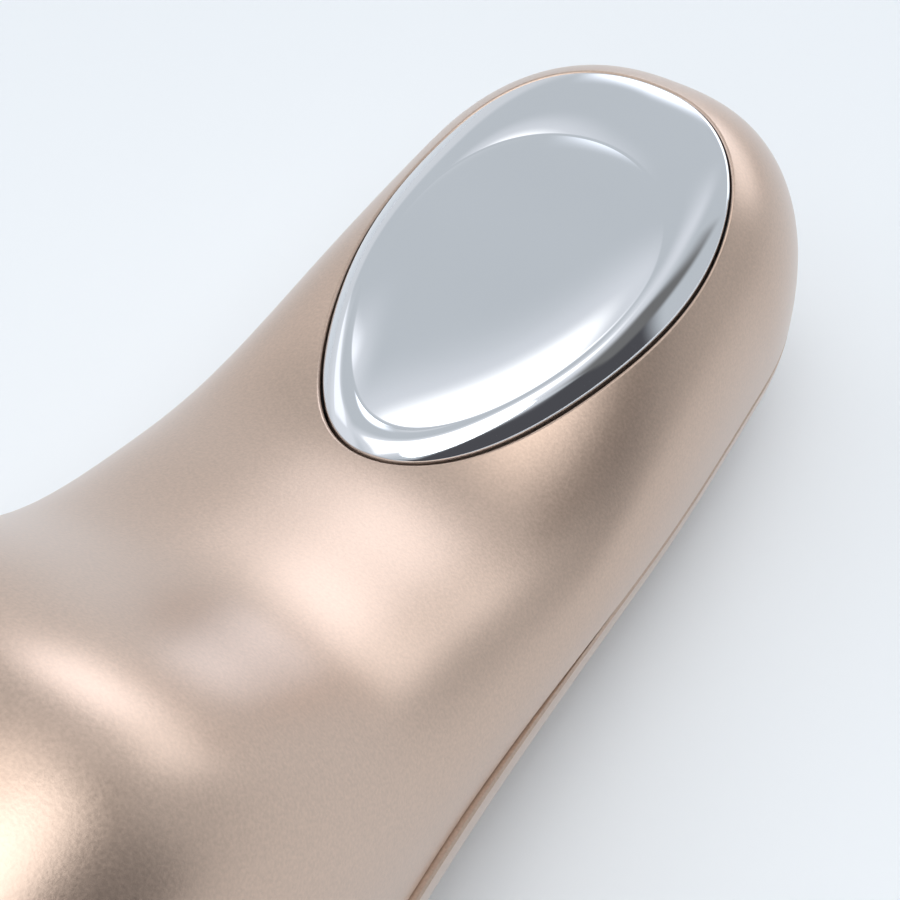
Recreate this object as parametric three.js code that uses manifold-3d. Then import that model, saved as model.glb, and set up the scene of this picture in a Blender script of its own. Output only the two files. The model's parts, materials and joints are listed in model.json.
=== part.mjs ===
// Handheld facial skincare device: a satin champagne body of two shells that lies on its back, with an
// egg-shaped polished treatment plate in its head and push buttons on the hump of its handle.
// Millimetres. +Y runs towards the head's tip, +X to the right, +Z up out of the treatment plate.
// The origin is on the surface that the device lies on, under the middle of its length and width.

import * as THREE from 'three';
import { mergeVertices } from 'three/addons/utils/BufferGeometryUtils.js';
import Module from 'manifold-3d';

const wasm = await Module();
wasm.setup();

// Overall size
const bodyLength = 185;
const bodyWidth = 51.2;
const bodyHeight = 56.5;

// Outline of the body at stations along its length. Each row holds the place along the length from the
// middle, as a share of the length, then the half width as a share of half the body's width, and the
// heights of the parting line and the belly as shares of the body's height.
const stationShares = [
  [-0.5, 0.645, 0.336, 0.159],
  [-0.405, 0.781, 0.371, 0.071],
  [-0.3135, 0.879, 0.399, 0.019],
  [-0.2324, 0.957, 0.407, 0],
  [-0.108, 1, 0.378, 0],
  [0.015, 0.941, 0.331, 0],
  [0.1395, 0.93, 0.287, 0],
  [0.239, 0.926, 0.256, 0],
  [0.3384, 0.898, 0.2545, 0.009],
  [0.448, 0.848, 0.26, 0.058],
  [0.5, 0.805, 0.265, 0.103],
];

// Crest of the body: places along the length from the middle as shares of the length, and heights as
// shares of the body's height. The hump rises steeply behind the saddle.
const crestShares = [
  [-0.5, 0.531],
  [-0.405, 0.729],
  [-0.3135, 0.892],
  [-0.254, 0.965],
  [-0.1946, 0.9965],
  [-0.1405, 1],
  [-0.1108, 0.9876],
  [-0.0892, 0.9575],
  [-0.0649, 0.901],
  [-0.0324, 0.802],
  [0, 0.708],
  [0.0324, 0.646],
  [0.0757, 0.593],
  [0.1395, 0.54],
  [0.239, 0.5965],
  [0.3384, 0.6585],
  [0.448, 0.687],
  [0.5, 0.6955],
];
const tipRoundLengthShare = 0.147;
const tipRoundness = 2.25;
const tailRoundLengthShare = 0.0757;
const tailRunoutShare = 0.0189;
const tailRoundness = 2.4;
const upperFullness = 2.5;
const lowerFullness = 2.2;
const bellyFlatDepth = 0.8;
const ledgeWidth = 0.6;
const ledgeEndShare = 0.2054;

// Shells
const wall = 2;
const partingGap = 0.4;
const clearance = 0.3;
const overrun = 10;

// Seal behind the parting line
const sealThickness = 1.2;
const sealHalfHeight = 2.2;

// Treatment plate: its widths are shares of the body's width, and its lengths shares of the body's length
const plateWidthShare = 0.629;
const plateLengthShare = 0.2984;
const plateEggShare = 0.2;
const plateTipSetbackShare = 0.2211;
const plateGap = 0.5;
const plateLip = 1.1;
const plateSheet = 1;
const plateSkirtDepth = 3;
const plateauWidthShare = 0.493;
const plateauLengthShare = 0.222;
const plateauEggShare = 0.188;
const plateauSetbackShare = 0.0185;
const plateauEdgeRise = 0.3;
const plateauCrown = 1;
const flankBulge = 0.5;

// Gasket, carrier, heater and sensor under the plate
const gasketDrop = 1.4;
const gasketHeight = 1.5;
const gasketWidth = 1.3;
const carrierThickness = 1.6;
const carrierBand = 5;
const carrierTabLength = 12;
const carrierTabWidth = 19;
const carrierHookWidth = 9;
const carrierHookHeight = 2;
const heaterThickness = 0.4;
const heaterMargin = 1.6;
const sensorRadius = 1.1;
const sensorLength = 4;

// Screws
const screwRadius = 1.1;
const screwHeadRadius = 2;
const screwHeadHeight = 1.3;
const bossRadius = 2.9;
const caseScrewDepth = 6;
const caseScrewBite = 6;
const boardScrewBite = 4.5;
const carrierScrewBite = 2;
const plugDepth = 2.4;
const neckScrewGapShare = 0.1081;
const tailScrewInset = 13.5;

// Buttons, their stems and switches
const modeButtonSetbackShare = 0.1222;
const buttonGap = 0.6;
const powerButtonRadius = 6;
const smallButtonRadius = 3.6;
const buttonProud = 0.3;
const buttonFlange = 1.1;
const buttonFlangeHeight = 1.1;
const buttonRingWidth = 1;
const buttonRingDepth = 1.1;
const plungerRadius = 1.5;
const stemRadius = 1.1;
const stemHeight = 1.2;
const stemTravelRoom = 1.2;
const buttonTravelRoom = 0.9;
const switchWidth = 6;
const switchHeight = 3.4;

// Board and what it carries
const boardThickness = 1.2;
const boardWidth = 25;
const boardLengthShare = 0.3135;
const boardCornerRadius = 2.5;
const boardScrewInset = 3.2;
const windowLength = 5;
const windowWidth = 1.8;
const windowGap = 1;
const lampSize = 1.4;
const lampHeight = 0.9;
const chipSize = 7;
const chipHeight = 1;
const coilRadius = 3.6;
const coilCoreRadius = 1.8;
const coilHeight = 4.5;
const coilFlangeHeight = 0.8;
const buzzerRadius = 4.6;
const buzzerHeight = 3.4;
const buzzerPortRadius = 0.8;
const plugLength = 6;
const plugWidth = 4;
const plugHeight = 3.6;

// Battery and cradle
const batteryRadius = 7;
const batteryLength = 49;
const batterySetbackShare = 0.1649;
const batteryNubRadius = 2.6;
const batteryNubHeight = 1;
const cradleWall = 1.4;
const cradleFloor = 1.2;
const cradleSideHeight = 4;
const cradleTabLength = 6;
const cradleTabWidth = 10;
const cradleTabThickness = 1.6;
const seatBossHeight = 1.6;
const seatScrewBite = 2;

// Vibration motor, its rotor and its bracket
const motorRadius = 4;
const motorLength = 14;
const motorSetbackShare = 0.0735;
const motorBoreDepth = 5;
const shaftRadius = 0.7;
const shaftReach = 6.5;
const weightRadius = 4.4;
const weightHubRadius = 2;
const weightThickness = 4;
const weightStandoff = 1.2;
const bracketWidth = 13;
const bracketLength = 9;
const bracketTabWidth = 6;
const bracketTabThickness = 1.6;
const bracketFloor = 1;
const bracketMouthShare = 0.87;

// Hand contact on the back of the handle
const contactSheet = 0.8;
const contactRecess = 0.2;
const contactWidth = 15;
const contactLengthShare = 0.2378;
const contactSetbackShare = 0.3703;
const contactStudRadius = 1.6;

// Base cap, charging pins and charging board in the tail
const capDepth = 3;
const chargePinRadius = 1.5;
const chargePinSpacing = 7;
const chargePinHeadRadius = 2.3;
const chargePinHeadDepth = 1;
const chargeBoardThickness = 1.2;
const chargeBoardWidth = 15;
const chargeBoardHeight = 8;

// Wires
const wireRadius = 0.55;
const wireSides = 6;
const wireSteps = 12;

// Facets
const outerStations = 30;
const outerSides = 28;
const innerStations = 22;
const innerSides = 20;
const eggSteps = 32;
const largeRound = 20;
const smallRound = 10;
const curveSegments = 8;

// Places along the body that follow from the sizes
const halfLength = bodyLength / 2;
const halfWidth = bodyWidth / 2;
const tipRoundLength = tipRoundLengthShare * bodyLength;
const tailRoundLength = tailRoundLengthShare * bodyLength;
const tailRunout = tailRunoutShare * bodyLength;
const ledgeEnd = ledgeEndShare * bodyLength;
const plateWidth = plateWidthShare * bodyWidth;
const plateLength = plateLengthShare * bodyLength;
const plateauWidth = plateauWidthShare * bodyWidth;
const plateauLength = plateauLengthShare * bodyLength;
const plateY = halfLength - plateTipSetbackShare * bodyLength;
const plateauY = plateY - plateauSetbackShare * bodyLength;
const bluntEndY = plateY + plateLength / 2;
const narrowEndY = plateY - plateLength / 2;
const neckScrewY = narrowEndY - neckScrewGapShare * bodyLength;
const tailScrewY = tailScrewInset - halfLength;
const modeButtonY = modeButtonSetbackShare * bodyLength - halfLength;
const levelButtonY = modeButtonY + 2 * (smallButtonRadius + buttonFlange) + buttonGap;
const powerButtonY = levelButtonY + powerButtonRadius + smallButtonRadius + 2 * buttonFlange + buttonGap;
const powerRingRadius = powerButtonRadius + clearance + buttonRingWidth;
const windowY = powerButtonY + powerRingRadius + clearance + windowGap + windowWidth / 2;
const boardTailEnd = tailScrewY + bossRadius + 2 * clearance;
const boardHeadEnd = boardTailEnd + boardLengthShare * bodyLength;
const batteryTailEnd = batterySetbackShare * bodyLength - halfLength;
const motorTailEnd = plateY - motorSetbackShare * bodyLength;
const contactLength = contactLengthShare * bodyLength;
const contactY = contactSetbackShare * bodyLength - halfLength;

const finishes = {
  champagne: { color: '#c9b3a4', metalness: 0.75, roughness: 0.36 },
  chrome: { color: '#d9dce0', metalness: 1, roughness: 0.06 },
  gasket: { color: '#1b1a1a', metalness: 0, roughness: 0.7 },
  seal: { color: '#2a2827', metalness: 0, roughness: 0.75 },
  carrier: { color: '#3a3b3e', metalness: 0, roughness: 0.55 },
  heater: { color: '#b5702c', metalness: 0.1, roughness: 0.4 },
  sensor: { color: '#20242a', metalness: 0, roughness: 0.4 },
  steel: { color: '#a9abae', metalness: 1, roughness: 0.3 },
  button: { color: '#cdb9ab', metalness: 0.75, roughness: 0.3 },
  switchBlack: { color: '#18181a', metalness: 0, roughness: 0.5 },
  nylon: { color: '#e7e4dc', metalness: 0, roughness: 0.5 },
  board: { color: '#1f5a3a', metalness: 0, roughness: 0.45 },
  lamp: { color: '#f2f4e6', metalness: 0, roughness: 0.25 },
  window: { color: '#f6f6f4', metalness: 0, roughness: 0.35 },
  copper: { color: '#b4693a', metalness: 0.9, roughness: 0.35 },
  battery: { color: '#3f6fae', metalness: 0.05, roughness: 0.35 },
  gold: { color: '#d8b25a', metalness: 1, roughness: 0.22 },
  wire: { color: '#b3262a', metalness: 0, roughness: 0.5 },
  plug: { color: '#c0ab9d', metalness: 0, roughness: 0.6 },
};

const object = new THREE.Group();

// Solids

function outward(geometry) {
  const place = geometry.getAttribute('position');
  const index = geometry.index.array;
  const a = new THREE.Vector3();
  const b = new THREE.Vector3();
  const c = new THREE.Vector3();
  let volume = 0;
  for (let i = 0; i < index.length; i += 3) {
    a.fromBufferAttribute(place, index[i]);
    b.fromBufferAttribute(place, index[i + 1]);
    c.fromBufferAttribute(place, index[i + 2]);
    volume += a.dot(b.cross(c));
  }
  if (volume < 0) {
    for (let i = 0; i < index.length; i += 3) {
      [index[i], index[i + 1]] = [index[i + 1], index[i]];
    }
  }
  return geometry;
}

function toSolid(geometry) {
  const bare = geometry.clone();
  bare.deleteAttribute('normal');
  bare.deleteAttribute('uv');
  const merged = outward(mergeVertices(bare));
  const vertProperties = Float32Array.from(merged.getAttribute('position').array);
  const triVerts = Uint32Array.from(merged.index.array);
  return new wasm.Manifold(new wasm.Mesh({ numProp: 3, vertProperties, triVerts }));
}

function toGeometry(solid) {
  const cut = solid.getMesh();
  const geometry = new THREE.BufferGeometry();
  geometry.setAttribute('position', new THREE.BufferAttribute(cut.vertProperties, cut.numProp));
  geometry.setIndex(new THREE.BufferAttribute(cut.triVerts, 1));
  geometry.computeVertexNormals();
  return geometry;
}

function piece(name, solid, finish) {
  const mesh = new THREE.Mesh(toGeometry(solid), new THREE.MeshStandardMaterial(finishes[finish]));
  mesh.name = name;
  object.add(mesh);
}

// Like pieces, numbered from 1
function pieces(name, solids, finish) {
  solids.forEach((solid, i) => piece(`${name}_${i + 1}`, solid, finish));
}

function box(x0, x1, y0, y1, z0, z1) {
  const geometry = new THREE.BoxGeometry(x1 - x0, y1 - y0, z1 - z0);
  geometry.translate((x0 + x1) / 2, (y0 + y1) / 2, (z0 + z1) / 2);
  return toSolid(geometry);
}

function upright(radius, x, y, z0, z1, sides = smallRound) {
  const geometry = new THREE.CylinderGeometry(radius, radius, z1 - z0, sides);
  geometry.rotateX(Math.PI / 2);
  geometry.translate(x, y, (z0 + z1) / 2);
  return toSolid(geometry);
}

function lengthwise(radius, x, z, y0, y1, sides = largeRound) {
  const geometry = new THREE.CylinderGeometry(radius, radius, y1 - y0, sides);
  geometry.translate(x, (y0 + y1) / 2, z);
  return toSolid(geometry);
}

function prism(shape, z0, z1) {
  const options = { depth: z1 - z0, bevelEnabled: false, curveSegments };
  const geometry = new THREE.ExtrudeGeometry(shape, options);
  geometry.translate(0, 0, z0);
  return toSolid(geometry);
}

// Closes a row of rings, each with the same number of points, into one body with a fan on either end.
// The last fan meets at the end point where one is given.
function loft(rings, endPoint = null) {
  const count = rings[0].length;
  const points = rings.flat();
  const middleOf = (ring) => {
    const middle = ring.reduce((sum, point) => sum.add(point), new THREE.Vector3());
    return middle.divideScalar(count);
  };
  const first = points.push(middleOf(rings[0])) - 1;
  const last = points.push(endPoint ?? middleOf(rings[rings.length - 1])) - 1;
  const index = [];
  for (let row = 0; row < rings.length - 1; row += 1) {
    for (let side = 0; side < count; side += 1) {
      const next = (side + 1) % count;
      const a = row * count + side;
      const b = row * count + next;
      index.push(a, b, b + count, a, b + count, a + count);
    }
  }
  for (let side = 0; side < count; side += 1) {
    const next = (side + 1) % count;
    const lastRow = (rings.length - 1) * count;
    index.push(first, next, side);
    index.push(last, lastRow + side, lastRow + next);
  }
  const geometry = new THREE.BufferGeometry().setFromPoints(points);
  geometry.setIndex(index);
  return toSolid(geometry);
}

// Closes a row of sections, each with the same number of points, into a ring that meets itself
function hoop(sections) {
  const count = sections[0].length;
  const index = [];
  for (let row = 0; row < sections.length; row += 1) {
    const nextRow = (row + 1) % sections.length;
    for (let side = 0; side < count; side += 1) {
      const next = (side + 1) % count;
      const a = row * count + side;
      const b = row * count + next;
      const c = nextRow * count + next;
      const d = nextRow * count + side;
      index.push(a, b, c, a, c, d);
    }
  }
  const geometry = new THREE.BufferGeometry().setFromPoints(sections.flat());
  geometry.setIndex(index);
  return toSolid(geometry);
}

function joined(solids) {
  return solids.reduce((sum, solid) => sum.add(solid));
}

// Form of the body

// Smooth curve of no bending at its ends, through one column of the rows
function stationCurve(rows, column, size) {
  const xs = rows.map((row) => row[0] * bodyLength);
  const ys = rows.map((row) => row[column] * size);
  const count = xs.length;
  const bends = new Array(count).fill(0);
  const spread = new Array(count).fill(0);
  for (let i = 1; i < count - 1; i += 1) {
    const before = xs[i] - xs[i - 1];
    const after = xs[i + 1] - xs[i];
    const turn = 6 * ((ys[i + 1] - ys[i]) / after - (ys[i] - ys[i - 1]) / before);
    const pivot = 2 * (before + after) - before * spread[i - 1];
    spread[i] = after / pivot;
    bends[i] = (turn - before * bends[i - 1]) / pivot;
  }
  for (let i = count - 2; i > 0; i -= 1) {
    bends[i] -= spread[i] * bends[i + 1];
  }
  return (y) => {
    let i = 0;
    while (i < count - 2 && y > xs[i + 1]) {
      i += 1;
    }
    const gap = xs[i + 1] - xs[i];
    const left = xs[i + 1] - y;
    const right = y - xs[i];
    const curved = (bends[i] * left ** 3 + bends[i + 1] * right ** 3) / (6 * gap);
    const leftSlope = ys[i] / gap - (bends[i] * gap) / 6;
    const rightSlope = ys[i + 1] / gap - (bends[i + 1] * gap) / 6;
    return curved + leftSlope * left + rightSlope * right;
  };
}

const fullHalfWidth = stationCurve(stationShares, 1, halfWidth);
const partingHeight = stationCurve(stationShares, 2, bodyHeight);
const bellyRise = stationCurve(stationShares, 3, bodyHeight);
const crestHeight = stationCurve(crestShares, 1, bodyHeight);
const bellyHeight = (y) => bellyRise(y) - bellyFlatDepth;

// How far the section has closed: 1 along the body, 0 at the tip, and part way down at the tail
function closing(y, inset) {
  const pastTipStart = y - (halfLength - tipRoundLength);
  const pastTailStart = tailRoundLength - halfLength - y;
  const tipShare = THREE.MathUtils.clamp(pastTipStart / (tipRoundLength - inset), 0, 1);
  const tailShare = THREE.MathUtils.clamp(pastTailStart / (tailRoundLength + tailRunout), 0, 1);
  const tip = (1 - tipShare ** tipRoundness) ** (1 / tipRoundness);
  const tail = (1 - tailShare ** tailRoundness) ** (1 / tailRoundness);
  return tip * tail;
}

// The rear shell stands proud of the front one by a ledge that fades out towards the head
function ledgeAt(y) {
  const share = THREE.MathUtils.smoothstep(ledgeEnd - y, 0, ledgeEnd);
  return ledgeWidth * share;
}

function sectionAt(y, inset, ledge) {
  const close = closing(y, inset);
  const parting = partingHeight(y);
  return {
    parting,
    reach: (fullHalfWidth(y) + ledge * ledgeAt(y) - inset) * close,
    rise: (crestHeight(y) - parting - inset) * close,
    drop: (parting - bellyHeight(y) - inset) * close,
  };
}

function roofHeight(x, y, inset = 0) {
  const section = sectionAt(y, inset, 0);
  const share = Math.min(Math.abs(x) / section.reach, 1);
  return section.parting + section.rise * (1 - share ** upperFullness) ** (1 / upperFullness);
}

function floorHeight(x, y, inset = 0) {
  const section = sectionAt(y, inset, 0);
  const share = Math.min(Math.abs(x) / section.reach, 1);
  const height = section.parting - section.drop * (1 - share ** lowerFullness) ** (1 / lowerFullness);
  return Math.max(height, inset);
}

function power(value, exponent) {
  return Math.sign(value) * Math.abs(value) ** exponent;
}

function bodyRing(y, inset, ledge, sides) {
  const section = sectionAt(y, inset, ledge);
  const ring = [];
  for (let side = 0; side < sides; side += 1) {
    const turn = (2 * Math.PI * side) / sides;
    const up = Math.sin(turn) >= 0;
    const fullness = up ? upperFullness : lowerFullness;
    const across = section.reach * power(Math.cos(turn), 2 / fullness);
    const height = (up ? section.rise : section.drop) * power(Math.sin(turn), 2 / fullness);
    ring.push(new THREE.Vector3(across, y, section.parting + height));
  }
  return ring;
}

// The whole body, drawn in by an inset on every side, with its flat belly and its flat tail. The open one
// runs on past the tail. What is drawn in by a wall or more has the wider facets of the inside.
function hull(inset, { ledge = 0, openTail = false } = {}) {
  const inside = inset >= wall;
  const stations = inside ? innerStations : outerStations;
  const sides = inside ? innerSides : outerSides;
  const tail = openTail ? -halfLength - tailRunout / 2 : -halfLength;
  const tip = halfLength - inset;
  const rings = [];
  for (let station = 0; station < stations; station += 1) {
    const turn = (Math.PI * station) / stations;
    const share = (1 - Math.cos(turn)) / 2;
    rings.push(bodyRing(tail + (tip - tail) * share, inset, ledge, sides));
  }
  const flat = box(-bodyWidth, bodyWidth, -bodyLength, bodyLength, inset, 2 * bodyHeight);
  return loft(rings, new THREE.Vector3(0, tip, partingHeight(tip))).intersect(flat);
}

// Everything above the parting line, raised by a gap, or below it
function partingSlab(offset, above) {
  const steps = outerStations;
  const shape = new THREE.Shape();
  for (let step = 0; step <= steps; step += 1) {
    const y = -halfLength - overrun + ((bodyLength + 2 * overrun) * step) / steps;
    const clamped = THREE.MathUtils.clamp(y, -halfLength, halfLength);
    const height = partingHeight(clamped) + offset;
    if (step === 0) {
      shape.moveTo(y, height);
    } else {
      shape.lineTo(y, height);
    }
  }
  const far = above ? 2 * bodyHeight : -bodyHeight;
  shape.lineTo(halfLength + overrun, far);
  shape.lineTo(-halfLength - overrun, far);
  const geometry = new THREE.ExtrudeGeometry(shape, { depth: 2 * bodyWidth, bevelEnabled: false });
  geometry.translate(0, 0, -bodyWidth);
  const axes = new THREE.Matrix4();
  axes.makeBasis(new THREE.Vector3(0, 1, 0), new THREE.Vector3(0, 0, 1), new THREE.Vector3(1, 0, 0));
  geometry.applyMatrix4(axes);
  return toSolid(geometry);
}

const outerHull = hull(0);
const outerLedgeHull = hull(0, { ledge: 1 });
const innerHull = hull(wall, { openTail: true });
const bossHull = hull(wall / 2, { openTail: true });
const flushHull = hull(clearance / 2);
const aboveParting = partingSlab(partingGap / 2, true);
const belowParting = partingSlab(-partingGap / 2, false);

// Treatment plate's outline

function eggPoint(turn, width, length, eggShare, centreY, offset) {
  const across = (width / 2) * Math.cos(turn) * (1 + eggShare * Math.sin(turn));
  const along = (length / 2) * Math.sin(turn);
  const bulge = Math.cos(turn) ** 2 - Math.sin(turn) ** 2;
  const acrossSlope = (width / 2) * (-Math.sin(turn) + eggShare * bulge);
  const alongSlope = (length / 2) * Math.cos(turn);
  const slope = Math.hypot(acrossSlope, alongSlope);
  const x = across + (offset * alongSlope) / slope;
  const y = centreY + along - (offset * acrossSlope) / slope;
  return new THREE.Vector2(x, y);
}

const platePoint = (turn, offset) => eggPoint(turn, plateWidth, plateLength, plateEggShare, plateY, offset);
const plateauPoint = (turn) => eggPoint(turn, plateauWidth, plateauLength, plateauEggShare, plateauY, 0);

function rimHeight(turn) {
  const point = platePoint(turn, 0);
  return roofHeight(point.x, point.y);
}

// The plateau's edge lies on a plane between the two ends of the plate, raised at its blunt end
const narrowTop = roofHeight(0, narrowEndY);
const bluntTop = roofHeight(0, bluntEndY) + plateauEdgeRise;
const plateauSlope = (bluntTop - narrowTop) / plateLength;
const plateauHeight = (y) => narrowTop + plateauSlope * (y - narrowEndY);

function eggTurns() {
  return Array.from({ length: eggSteps }, (_, step) => (2 * Math.PI * step) / eggSteps);
}

// A ring on the plate's outline, moved out by an offset and raised from the rim
function rimRing(offset, raise) {
  return eggTurns().map((turn) => {
    const point = platePoint(turn, offset);
    return new THREE.Vector3(point.x, point.y, rimHeight(turn) + raise);
  });
}

function rimPlug(levels) {
  return loft(levels.map(([offset, raise]) => rimRing(offset, raise)));
}

function rimHoop(corners) {
  const sections = eggTurns().map((turn) => {
    return corners.map(([offset, raise]) => {
      const point = platePoint(turn, offset);
      return new THREE.Vector3(point.x, point.y, rimHeight(turn) + raise);
    });
  });
  return hoop(sections);
}

// Shares of the way out from the plateau to the rim
const flankShares = [0, 0.2, 0.4, 0.6, 0.8, 1];

function flankRing(outShare, lower) {
  return eggTurns().map((turn) => {
    const inner = plateauPoint(turn);
    const point = inner.clone().lerp(platePoint(turn, 0), outShare);
    const straight = THREE.MathUtils.lerp(plateauHeight(inner.y), rimHeight(turn), outShare);
    const bulge = flankBulge * (1 - (2 * outShare - 1) ** 2);
    return new THREE.Vector3(point.x, point.y, straight + bulge - lower);
  });
}

function plateauRing(outShare, lower) {
  return eggTurns().map((turn) => {
    const edge = plateauPoint(turn);
    const x = edge.x * outShare;
    const y = THREE.MathUtils.lerp(plateauY, edge.y, outShare);
    return new THREE.Vector3(x, y, plateauHeight(y) + plateauCrown * (1 - outShare ** 4) - lower);
  });
}

function treatmentPlate() {
  const middleShares = [0.1, 0.55, 0.85];
  const rings = middleShares.map((share) => plateauRing(share, 0));
  flankShares.forEach((share) => rings.push(flankRing(share, 0)));
  rings.push(rimRing(0, -plateSkirtDepth));
  rings.push(rimRing(-plateSheet, -plateSkirtDepth));
  const underShares = flankShares.slice(0, -2).reverse();
  underShares.forEach((share) => rings.push(flankRing(share, plateSheet)));
  rings.push(plateauRing(middleShares[1], plateSheet));
  rings.push(plateauRing(middleShares[0], plateSheet));
  return loft(rings);
}

piece('treatment_plate', treatmentPlate(), 'chrome');

const gasketInner = clearance;
const gasketOuter = gasketInner + gasketWidth;
const gasketBottom = gasketDrop + gasketHeight;
const lipHull = hull(plateLip);
const underLipHull = hull(plateLip + clearance);
piece('plate_gasket', rimHoop([
  [gasketInner, -gasketDrop],
  [gasketOuter, -gasketDrop],
  [gasketOuter, -gasketBottom],
  [gasketInner, -gasketBottom],
]).intersect(underLipHull), 'gasket');

// Carrier ring that holds the plate up, with a screwed tab at the neck and its far end on a hook
const carrierDrop = Math.max(plateSkirtDepth, gasketBottom) + clearance;
const carrierBottom = carrierDrop + carrierThickness;
const pocketOffset = gasketOuter + clearance;
const pocketTop = gasketDrop - clearance;
const carrierScrewX = carrierTabWidth / 2 - bossRadius;
const carrierScrewY = narrowEndY - carrierTabLength / 2;
const tabTop = Math.min(...eggTurns().map(rimHeight)) - carrierDrop;
const tabBottom = tabTop - carrierThickness;
const screwHole = screwRadius + clearance;

function plateCarrier() {
  const ring = rimHoop([
    [gasketOuter, -carrierDrop],
    [gasketOuter, -carrierBottom],
    [-carrierBand, -carrierBottom],
    [-carrierBand, -carrierDrop],
  ]);
  const tabX = carrierTabWidth / 2;
  const tabTail = narrowEndY - carrierTabLength;
  const tab = box(-tabX, tabX, tabTail, narrowEndY + carrierBand / 2, tabBottom, tabTop);
  const holes = [-1, 1].map((side) => {
    return upright(screwHole, side * carrierScrewX, carrierScrewY, tabBottom - overrun, tabTop + overrun);
  });
  return ring.add(tab).subtract(joined(holes));
}

piece('plate_carrier', plateCarrier(), 'carrier');

function screw(x, y, seat, bite, headDown = true) {
  const facing = headDown ? 1 : -1;
  const profile = [
    new THREE.Vector2(0, -screwHeadHeight),
    new THREE.Vector2(screwHeadRadius, -screwHeadHeight),
    new THREE.Vector2(screwHeadRadius, 0),
    new THREE.Vector2(screwRadius, 0),
    new THREE.Vector2(screwRadius, bite - screwRadius),
    new THREE.Vector2(0, bite),
  ];
  const geometry = new THREE.LatheGeometry(profile, smallRound);
  geometry.rotateX(facing * Math.PI / 2);
  geometry.translate(x, y, seat);
  return toSolid(geometry);
}

pieces('carrier_screw', [-1, 1].map((side) => {
  const seat = tabBottom - clearance;
  const bite = carrierThickness + 2 * clearance + carrierScrewBite;
  return screw(side * carrierScrewX, carrierScrewY, seat, bite);
}), 'steel');

// Heater film and its sensor, flat against the underside of the plateau
function heaterRing(lower) {
  return eggTurns().map((turn) => {
    const point = eggPoint(turn, plateauWidth, plateauLength, plateauEggShare, plateauY, -heaterMargin);
    return new THREE.Vector3(point.x, point.y, plateauHeight(point.y) - lower);
  });
}

const heaterDrop = plateSheet + clearance;
const heaterBottom = heaterDrop + heaterThickness;
piece('heater_film', loft([heaterRing(heaterDrop), heaterRing(heaterBottom)]), 'heater');

const sensorZ = plateauHeight(plateauY) - heaterBottom - clearance - sensorRadius
  - (Math.abs(plateauSlope) * sensorLength) / 2;
piece('temperature_sensor', lengthwise(
  sensorRadius, 0, sensorZ, plateauY - sensorLength / 2, plateauY + sensorLength / 2, smallRound,
), 'sensor');

// Buttons: a cap that stands a little proud, a flange under the roof and a plunger onto the switch's stem
const controls = [
  { name: 'power', y: powerButtonY, radius: powerButtonRadius, ringed: true },
  { name: 'level', y: levelButtonY, radius: smallButtonRadius, ringed: false },
  { name: 'mode', y: modeButtonY, radius: smallButtonRadius, ringed: false },
];
const lastFlangeEdge = modeButtonY - smallButtonRadius - buttonFlange;
const flangeFloor = roofHeight(0, lastFlangeEdge) - wall - clearance - buttonFlangeHeight;
const boardTop = flangeFloor - buttonTravelRoom - switchHeight;
const stemBottom = boardTop + switchHeight - stemHeight;
const stemTop = boardTop + switchHeight + stemHeight / 2;
const plungerBottom = stemTop + clearance;
const proudHull = hull(-buttonProud);
const flangeHull = hull(wall + clearance);
const flangeFloorHull = hull(wall + clearance + buttonFlangeHeight);
const ringFloorHull = hull(buttonRingDepth);
const ringSeatHull = hull(buttonRingDepth + clearance);
const topSpan = [bodyHeight / 2, 2 * bodyHeight];

controls.forEach((control) => {
  const cap = upright(control.radius, 0, control.y, ...topSpan, largeRound);
  const flange = upright(control.radius + buttonFlange, 0, control.y, ...topSpan, largeRound);
  const plungerTop = roofHeight(0, control.y) - wall;
  const head = cap.intersect(proudHull).add(flange.intersect(flangeHull)).subtract(flangeFloorHull);
  const plunger = upright(plungerRadius, 0, control.y, plungerBottom, plungerTop);
  piece(`${control.name}_button`, head.add(plunger), 'button');
  if (control.ringed) {
    const band = upright(powerRingRadius, 0, control.y, ...topSpan, largeRound);
    const bore = upright(control.radius + clearance, 0, control.y, ...topSpan, largeRound);
    piece(`${control.name}_ring`, band.subtract(bore).intersect(flushHull).subtract(ringFloorHull), 'chrome');
  }
  piece(`${control.name}_stem`, upright(stemRadius, 0, control.y, stemBottom, stemTop), 'nylon');
  const half = switchWidth / 2;
  const base = boardTop + clearance;
  const body = box(-half, half, control.y - half, control.y + half, base, boardTop + switchHeight);
  const well = upright(stemRadius + clearance, 0, control.y, stemBottom - stemTravelRoom, boardTop + overrun);
  piece(`${control.name}_switch`, body.subtract(well), 'switchBlack');
});

// Light window ahead of the power button, and the lamps under it
function windowBlock(margin, z0, z1) {
  const across = windowLength / 2 + margin;
  const along = windowWidth / 2 + margin;
  return box(-across, across, windowY - along, windowY + along, z0, z1);
}

const lampTop = boardTop + clearance + lampHeight;
piece('light_window', windowBlock(0, lampTop + clearance, 2 * bodyHeight).intersect(flushHull), 'window');

const lampPitch = (windowLength - lampSize) / 2;
pieces('indicator_lamp', [-1, 0, 1].map((step) => {
  const x = step * lampPitch;
  const half = lampSize / 2;
  return box(x - half, x + half, windowY - half, windowY + half, boardTop + clearance, lampTop);
}), 'lamp');

// Main board, hung from the roof of the front cover by screws at its corners
const boardScrews = [-1, 1].flatMap((side) => {
  const x = side * (boardWidth / 2 - boardScrewInset);
  return [[x, boardHeadEnd - boardScrewInset], [x, boardTailEnd + boardScrewInset]];
});
const boardBottom = boardTop - boardThickness;

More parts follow.
